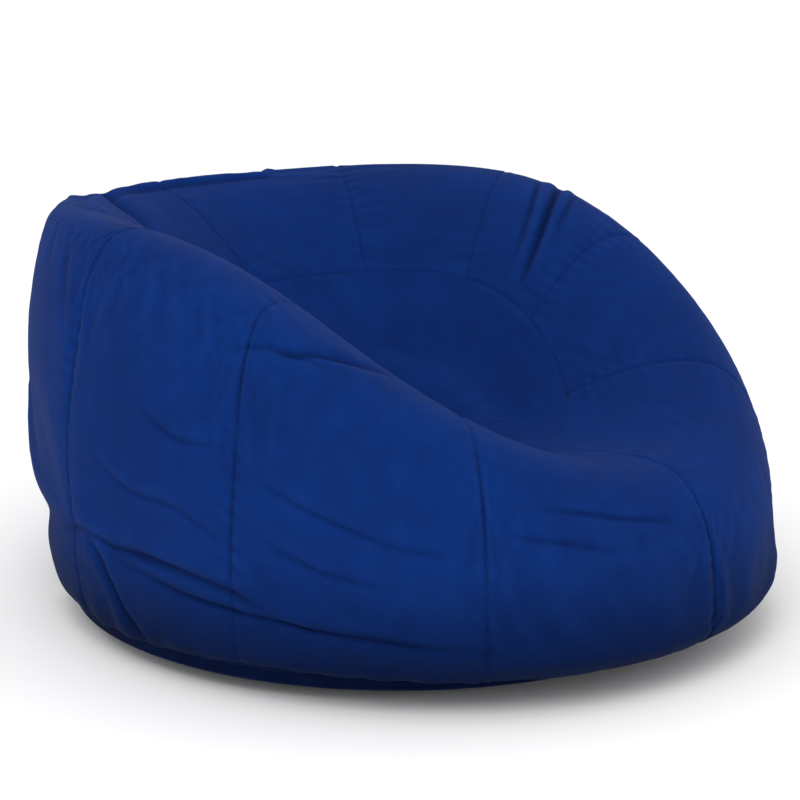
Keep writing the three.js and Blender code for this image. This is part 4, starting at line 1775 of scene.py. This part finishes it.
    def slider_plate(self, name: str, inner: float, outer: float) -> bpy.types.Object:
        """Shape one slider plate: broad over the open coils, drawn in behind.

        Args:
            name: the plate's name.
            inner: radius of its inner face.
            outer: radius of its outer face.

        Returns:
            The plate, made at +X.
        """
        z = self.middle
        plate = block(name, (inner, -0.006, z - 0.0048), (outer, 0.006, z + 0.0048))
        points = subdivided(plate, 3)
        share = np.clip((points[:, 1] + 0.006) / 0.012, 0, 1)
        waist = 0.66 + 0.34 * np.clip(share * 1.6, 0, 1) ** 1.2
        waist -= 0.06 * np.clip((share - 0.75) / 0.25, 0, 1) ** 2
        points[:, 2] = z + (points[:, 2] - z) * waist
        set_vertices(plate, points)
        return plate

    def slider(self) -> bpy.types.Object:
        """Cast the slider: two plates, the neck and the bridge.

        Returns:
            The slider.
        """
        z = self.middle
        face = 0.39905
        outer = self.slider_plate("slider_outer", 0.39725, face)
        pick_faces(outer, lambda centre, normal: normal.x > 0.9 and abs(centre.z - z) < 0.0026
                   and abs(centre.y) < 0.0035)
        bpy.ops.mesh.inset(thickness=0.0005, depth=-0.00025)
        leave_edit()
        rounded(outer, 0.00045, 3)
        back = rounded(self.slider_plate("slider_inner", 0.39145, 0.39325), 0.00045, 3)
        neck = block("slider_neck", (0.39305, 0.003, z - 0.0002), (0.39745, 0.0059, z + 0.0002))
        pick_vertices(neck, lambda place: place.y < 0.0035)
        bpy.ops.transform.resize(value=(1, 1, 0.4), center_override=(0.395, 0.003, z))
        leave_edit()
        parts = [outer, back, neck]
        bridge = block("slider_bridge", (face - 0.0002, -0.003, z - 0.0012), (0.40265, 0.003, z + 0.0012))
        edit(bridge)
        for place, way in (((0, -0.002, z), (0, 1, 0)), ((0, 0.002, z), (0, 1, 0)),
                           ((0.40165, 0, z), (1, 0, 0))):
            bpy.ops.mesh.select_all(action="SELECT")
            bpy.ops.mesh.bisect(plane_co=place, plane_no=way)
        leave_edit()
        pick_faces(bridge, lambda centre, normal: abs(normal.z) > 0.9 and abs(centre.y) < 0.002
                   and centre.x < 0.40165)
        bpy.ops.mesh.bridge_edge_loops()
        leave_edit()
        pick_faces(bridge, lambda centre, normal: normal.x < -0.9 and abs(centre.y) < 0.002
                   and centre.x < 0.4)
        bpy.ops.mesh.delete(type="FACE")
        leave_edit()
        self._close_holes(bridge)
        rounded(bridge, 0.0003, 2)
        parts.append(bridge)
        piece = joined("zip_slider_casting", parts)
        smooth(piece, 35)
        turn_about_axis(piece, self.slider_turn)
        finish_piece(piece, NICKEL, "zip_metal", "cover_zip_slider", body="cover_slider")
        return piece

    @staticmethod
    def _close_holes(piece: bpy.types.Object) -> None:
        """Fill any open edge loop of a piece and make its normals agree.

        Args:
            piece: the piece to close.
        """
        edit(piece, "EDGE", "SELECT")
        bpy.ops.mesh.fill_holes(sides=0)
        bpy.ops.mesh.select_all(action="SELECT")
        bpy.ops.mesh.normals_make_consistent(inside=False)
        leave_edit()

    def pull(self) -> bpy.types.Object:
        """Stamp the pull: a cross bar, two arms and a grip with a raised rim.

        Returns:
            The pull.
        """
        z, axis = self.middle, 0.40035
        deselect_all()
        bpy.ops.mesh.primitive_cylinder_add(vertices=14, radius=0.0007, depth=0.0072, location=(axis, 0, z))
        bar = named("pull_bar")
        pick_faces(bar, lambda centre, normal: abs(normal.z) > 0.9)
        bpy.ops.mesh.inset(thickness=0.0002, depth=-0.0001)
        leave_edit()
        parts = [bar]
        for side in (-1, 1):
            near, far = sorted((z + side * 0.0024, z + side * 0.0038))
            arm = block("pull_arm", (axis - 0.0006, -0.006, near), (axis + 0.0006, 0.0006, far))
            parts.append(rounded(arm, 0.0003, 2))
        tab = block("pull_tab", (axis - 0.0006, -0.024, z - 0.0038), (axis + 0.0006, -0.005, z + 0.0038))
        points = subdivided(tab, 5)
        toward_end = np.clip((-points[:, 1] - 0.0200) / 0.004, 0, 1)
        points[:, 2] = z + (points[:, 2] - z) * (1 - 0.42 * toward_end ** 2)
        set_vertices(tab, points)
        for face_side in (-1, 1):
            pick_faces(tab, lambda centre, normal: normal.x * face_side > 0.9 and abs(centre.z - z) < 0.0026
                       and -0.0205 < centre.y < -0.0085)
            bpy.ops.mesh.inset(thickness=0.0005, depth=-0.00022)
            leave_edit()
        parts.append(rounded(tab, 0.0003, 2))
        piece = joined("zip_pull_tab", parts)
        smooth(piece, 35)
        turn_about_axis(piece, self.slider_turn)
        finish_piece(piece, NICKEL, "zip_metal", "cover_zip_pull", body="cover_pull")
        return piece

    def build(self) -> None:
        """Build the zip's pieces in order."""
        for upper in (False, True):
            self.tape(upper)
            self.coil(upper)
        self.tape_stitching()
        self.guard()
        for name, turn in zip(("cover_zip_stop_closed", "cover_zip_stop_open"), self.stop_turns):
            self.stop(name, turn)
        self.slider()
        self.pull()


# ---------------------------------------------------------------- liner
@dataclass
class Liner:
    """The calico bag inside, with its own short zip underneath."""

    cloth: CoverCloth
    inset: float = 0.0036
    thickness: float = 0.0006
    band_radius: float = 0.388
    bottom: float = 0.0036
    under_radius: float = 0.3152
    zip_half: float = 0.240
    zip_room: float = 0.0082
    tape_half: float = 0.0078
    tape_thickness: float = 0.0005
    zip_height: float = 0.0038
    coil_reach: float = 0.0014
    coil_depth: float = 0.0018
    pitch: float = 0.0016
    slider_x: float = -0.225
    stop_x: float = 0.237

    def inner_rows(self, inset: float, band_radius: float, bottom: float) -> Array:
        """Rows of an inner layer, from the seat out and down to its lower edge.

        Args:
            inset: how far inside the cover it lies.
            band_radius: its radius at the bottom.
            bottom: the height of its lower edge.

        Returns:
            Closed rows of points.
        """
        cloth = self.cloth
        surface, normal = cloth.inner
        points = (surface - normal * inset)[:cloth.fine_band_row + 1:cloth.row_scale, ::cloth.column_scale]
        turn = cloth.turns(cloth.columns)
        held = points[..., 2] > cloth.shape.band_top + 0.006
        keep = int(np.nonzero(held.all(axis=1))[0].max())
        shape = cloth.shape
        shoulder = bottom + shape.base_slope() * (band_radius - shape.flat_radius)
        band = [(band_radius, height) for height in np.linspace(shape.band_top, shoulder, 6)]
        share = np.linspace(0, 1, 16)[1:]
        cone = [(band_radius + (shape.flat_radius - band_radius) * t, shoulder + (bottom - shoulder) * t)
                for t in share]
        rings = [on_circle(radius, turn, height)[None] for radius, height in band + cone]
        whole = np.concatenate([points[:keep + 1]] + rings)
        return np.concatenate([whole, whole[:, :1]], axis=1)

    def shell(self) -> bpy.types.Object:
        """Make the liner's bag.

        Returns:
            The bag.
        """
        grid = self.inner_rows(self.inset, self.band_radius, self.bottom)
        piece = cloth_from_grid("liner_shell_cloth", grid, True)
        thickened(piece, self.thickness, degrees=60)
        finish_piece(piece, LINER_CLOTH, "liner_fabric", "liner_shell")
        return piece

    def half(self, rear: bool) -> bpy.types.Object:
        """Make one half of the liner's underside, with a notch for the zip.

        Args:
            rear: the half behind the zip, or the one in front.

        Returns:
            The half.
        """
        side = 1 if rear else -1
        across = np.sin(np.radians(np.linspace(-89, 89, 181))) * (self.under_radius - 0.0006)
        near = np.where(np.abs(across) < self.zip_half, self.zip_room, 0.0004)
        far = np.sqrt(self.under_radius ** 2 - across ** 2)
        share = np.linspace(0, 1, 60)[:, None]
        y = near[None] + (far - near)[None] * share
        crinkle = np.sin(41 * across[None] + 2 * np.sin(33 * y))
        crinkle = crinkle * np.sin(37 * y + 2 * np.sin(29 * across[None]))
        height = self.zip_height + 0.00035 * crinkle * np.clip(share * 12, 0, 1)
        grid = np.stack([np.broadcast_to(across[None], y.shape), side * y, height], axis=-1)
        name = f"liner_base_{'rear' if rear else 'front'}"
        piece = cloth_from_grid(f"{name}_cloth", grid)
        thickened(piece, self.thickness, 0.0, 60)
        finish_piece(piece, LINER_CLOTH, "liner_fabric", name)
        return piece

    def tape(self, rear: bool) -> bpy.types.Object:
        """Weave one tape of the liner zip.

        Args:
            rear: the tape behind the slit, or the one in front.

        Returns:
            The tape.
        """
        side = 1 if rear else -1
        x = np.linspace(-self.zip_half + 0.0006, self.zip_half - 0.0006, 241)
        out = np.array([self.tape_half, 0.0066, 0.0048, 0.0032, 0.0020, 0.0012])
        height = np.array([0.0038, 0.0040, 0.0039, 0.0038, 0.0038, 0.0038])
        wave = 0.00005 * np.sin(x * 300)
        grid = np.stack([np.stack([x, 0 * x + side * o, wave + h], axis=-1) for o, h in zip(out, height)])
        name = f"liner_zip_tape_{'rear' if rear else 'front'}"
        piece = cloth_from_grid(f"{name}_weave", grid)
        thickened(piece, self.tape_thickness, 0.0)
        finish_piece(piece, LINER_CLOTH, "liner_fabric", name)
        return piece

    def coil(self, rear: bool) -> bpy.types.Object:
        """Wind one coil of the liner zip.

        Args:
            rear: the coil behind the slit, or the one in front.

        Returns:
            The coil.
        """
        side = 1 if rear else -1
        end = self.stop_x - 0.0026
        steps = np.arange(-end + (self.pitch / 2 if rear else 0), end, self.pitch)
        turned = Matrix(((0, 1, 0, 0), (0, 0, -side, 0), (1, 0, 0, 0), (0, 0, 0, 1)))
        centre = side * (0.0003 + self.coil_reach / 2)
        places = [Matrix.Translation((x, centre, self.zip_height)) @ turned for x in steps]
        piece = copies_of(ZipTooth(self.coil_reach, self.coil_depth).build(),
                          f"liner_zip_coil_{'rear' if rear else 'front'}_teeth", places)
        self._outward(piece)
        finish_piece(piece, CREAM_COIL, "liner_coil", f"liner_zip_coil_{'rear' if rear else 'front'}")
        return piece

    @staticmethod
    def _outward(piece: bpy.types.Object) -> None:
        """Make the normals of closed shells point out.

        Args:
            piece: the piece, of one or more closed shells.
        """
        edit(piece, "FACE", "SELECT")
        bpy.ops.mesh.normals_make_consistent(inside=False)
        leave_edit()

    def stop(self, name: str, x: float) -> bpy.types.Object:
        """Crimp one stop over both coils.

        Args:
            name: the stop's CAD node.
            x: where it sits.

        Returns:
            The stop.
        """
        stop = block(f"{name}_crimp", (x - 0.0019, -0.0017, 0.0029), (x + 0.0019, 0.0017, 0.0047))
        pick_faces(stop, lambda centre, normal: normal.z < -0.9)
        bpy.ops.mesh.inset(thickness=0.0006, depth=0.0)
        bpy.ops.transform.translate(value=(0, 0, 0.0003))
        leave_edit()
        rounded(stop, 0.0003, 3)
        smooth(stop, 35)
        finish_piece(stop, NICKEL, "zip_metal", name)
        return stop

    def slider(self) -> bpy.types.Object:
        """Cast the locking slider, which has no pull.

        Returns:
            The slider.
        """
        parts = []
        lug_x = self.slider_x
        for name, low, high in (("lower", 0.0021, 0.0027), ("upper", 0.0049, 0.0055)):
            plate = block(f"liner_slider_{name}", (lug_x - 0.0055, -0.0045, low),
                          (lug_x + 0.0055, 0.0045, high))
            points = subdivided(plate, 3)
            share = np.clip((lug_x + 0.0055 - points[:, 0]) / 0.011, 0, 1)
            points[:, 1] *= 0.68 + 0.32 * np.clip(share * 1.5, 0, 1)
            set_vertices(plate, points)
            parts.append(rounded(plate, 0.0002, 2))
        neck = block("liner_slider_neck", (lug_x - 0.0054, -0.0002, 0.0026), (lug_x - 0.0026, 0.0002, 0.0050))
        pick_vertices(neck, lambda place: place.x > lug_x - 0.003)
        bpy.ops.transform.resize(value=(1, 0.4, 1), center_override=(lug_x - 0.0026, 0, self.zip_height))
        leave_edit()
        parts.append(neck)
        piece = joined("liner_zip_slider_casting", parts)
        smooth(piece, 35)
        finish_piece(piece, NICKEL, "zip_metal", "liner_zip_slider", body="liner_slider")
        return piece

    def build(self) -> None:
        """Build the liner's pieces in order."""
        self.shell()
        for rear in (False, True):
            self.half(rear)
            self.tape(rear)
            self.coil(rear)
        self.stop("liner_zip_stop_closed", -self.stop_x)
        self.stop("liner_zip_stop_open", self.stop_x)
        self.slider()


@dataclass
class FoamFilling:
    """The heap of shredded foam that fills the liner."""

    liner: Liner
    inset: float = 0.0066
    band_radius: float = 0.3848
    bottom: float = 0.0056
    lump: float = 0.0014
    groove_half: float = 0.009
    groove_reach: float = 0.250
    groove_top: float = 0.009

    def build(self) -> bpy.types.Object:
        """Make the filling as one closed padded body, with room for the liner zip below.

        Returns:
            The filling.
        """
        body = self.liner.inner_rows(self.inset, self.band_radius, self.bottom)
        turn = np.concatenate([self.liner.cloth.turns(self.liner.cloth.columns), [2 * np.pi]])
        radius = np.linspace(self.liner.cloth.shape.flat_radius, 0, 61)[1:, None]
        x, y = radius * np.sin(turn), -radius * np.cos(turn)
        room = np.clip((self.groove_half + 0.006 - np.abs(y)) / 0.006, 0, 1)
        room *= np.clip((self.groove_reach + 0.006 - np.abs(x)) / 0.006, 0, 1)
        under = np.stack([x, y, self.bottom + (self.groove_top - self.bottom) * room], axis=-1)
        grid = np.concatenate([body, under])
        lumps = sum(np.sin(grid @ np.array(way) + shift) for way, shift in (
            ((160, 90, 40), 0.3), ((-70, 150, 110), 1.7), ((60, -130, 170), 2.9), ((190, 20, -90), 4.1)))
        normal = grid_normals(grid[:, :-1])
        normal = np.concatenate([normal, normal[:, :1]], axis=1)
        inward = self.lump * (1 + lumps / 4) * (np.arange(len(grid)) < len(body) - 22)[:, None]
        grid = grid - normal * inward[..., None]
        piece = cloth_from_grid("foam_filling_shreds", grid, True)
        smooth(piece, 60)
        finish_piece(piece, FOAM, "shredded_foam", "foam_filling")
        return piece


# ---------------------------------------------------------------- studio
@dataclass
class Studio:
    """White paper, soft light from the left and above, and the camera."""

    azimuth: float = -48.0
    elevation: float = 13.46
    distance: float = 2.66
    aim: tuple[float, float, float] = (0.0016, -0.0018, 0.2415)
    lens: float = 98.5
    sky: float = 1.1
    key_power: float = 30.0
    key_place: tuple[float, float, float] = (-1.9, -1.3, 2.6)
    key_size: float = 1.8

    def paper(self) -> bpy.types.Object:
        """Lay the backdrop.

        Returns:
            The backdrop.
        """
        deselect_all()
        bpy.ops.mesh.primitive_plane_add(size=14.0)
        floor = named("studio_floor")
        subdivided(floor, 6)
        PALETTE.dress(floor, BACKDROP)
        return floor

    def light(self) -> None:
        """Set the white surroundings and the key light."""
        world = bpy.data.worlds.new("white_surroundings")
        bpy.context.scene.world = world
        world.use_nodes = True
        background = world.node_tree.nodes["Background"]
        background.inputs["Color"].default_value = (1.0, 1.0, 1.0, 1.0)
        background.inputs["Strength"].default_value = self.sky
        lamp = bpy.data.lights.new("key_light", "AREA")
        lamp.energy = self.key_power
        lamp.size = self.key_size
        lamp_object = bpy.data.objects.new("key_light", lamp)
        bpy.context.collection.objects.link(lamp_object)
        place = Vector(self.key_place)
        lamp_object.location = place
        lamp_object.rotation_mode = "QUATERNION"
        lamp_object.rotation_quaternion = (place - Vector(self.aim)).to_track_quat("Z", "Y")

    def camera(self) -> bpy.types.Object:
        """Place the camera and make it the scene's own.

        Returns:
            The camera.
        """
        turn, rise = math.radians(self.azimuth), math.radians(self.elevation)
        back = Vector((math.sin(turn) * math.cos(rise), -math.cos(turn) * math.cos(rise), math.sin(rise)))
        lens = bpy.data.cameras.new("camera")
        lens.lens = self.lens
        lens.sensor_width = 36.0
        camera = bpy.data.objects.new("camera", lens)
        bpy.context.collection.objects.link(camera)
        camera.location = Vector(self.aim) + back * self.distance
        camera.rotation_mode = "QUATERNION"
        camera.rotation_quaternion = back.to_track_quat("Z", "Y")
        bpy.context.scene.camera = camera
        return camera

    def build(self) -> None:
        """Set the whole studio."""
        self.paper()
        self.light()
        self.camera()
        bpy.context.scene.view_settings.view_transform = "Standard"


def main() -> None:
    """Build the bag from its cloth inward, then the studio."""
    cloth = CoverCloth()
    cloth.crease()
    Cover(cloth).build()
    CareLabel().build()
    CoverZip().build()
    liner = Liner(cloth)
    liner.build()
    FoamFilling(liner).build()
    Studio().build()


if __name__ == "__main__":
    main()
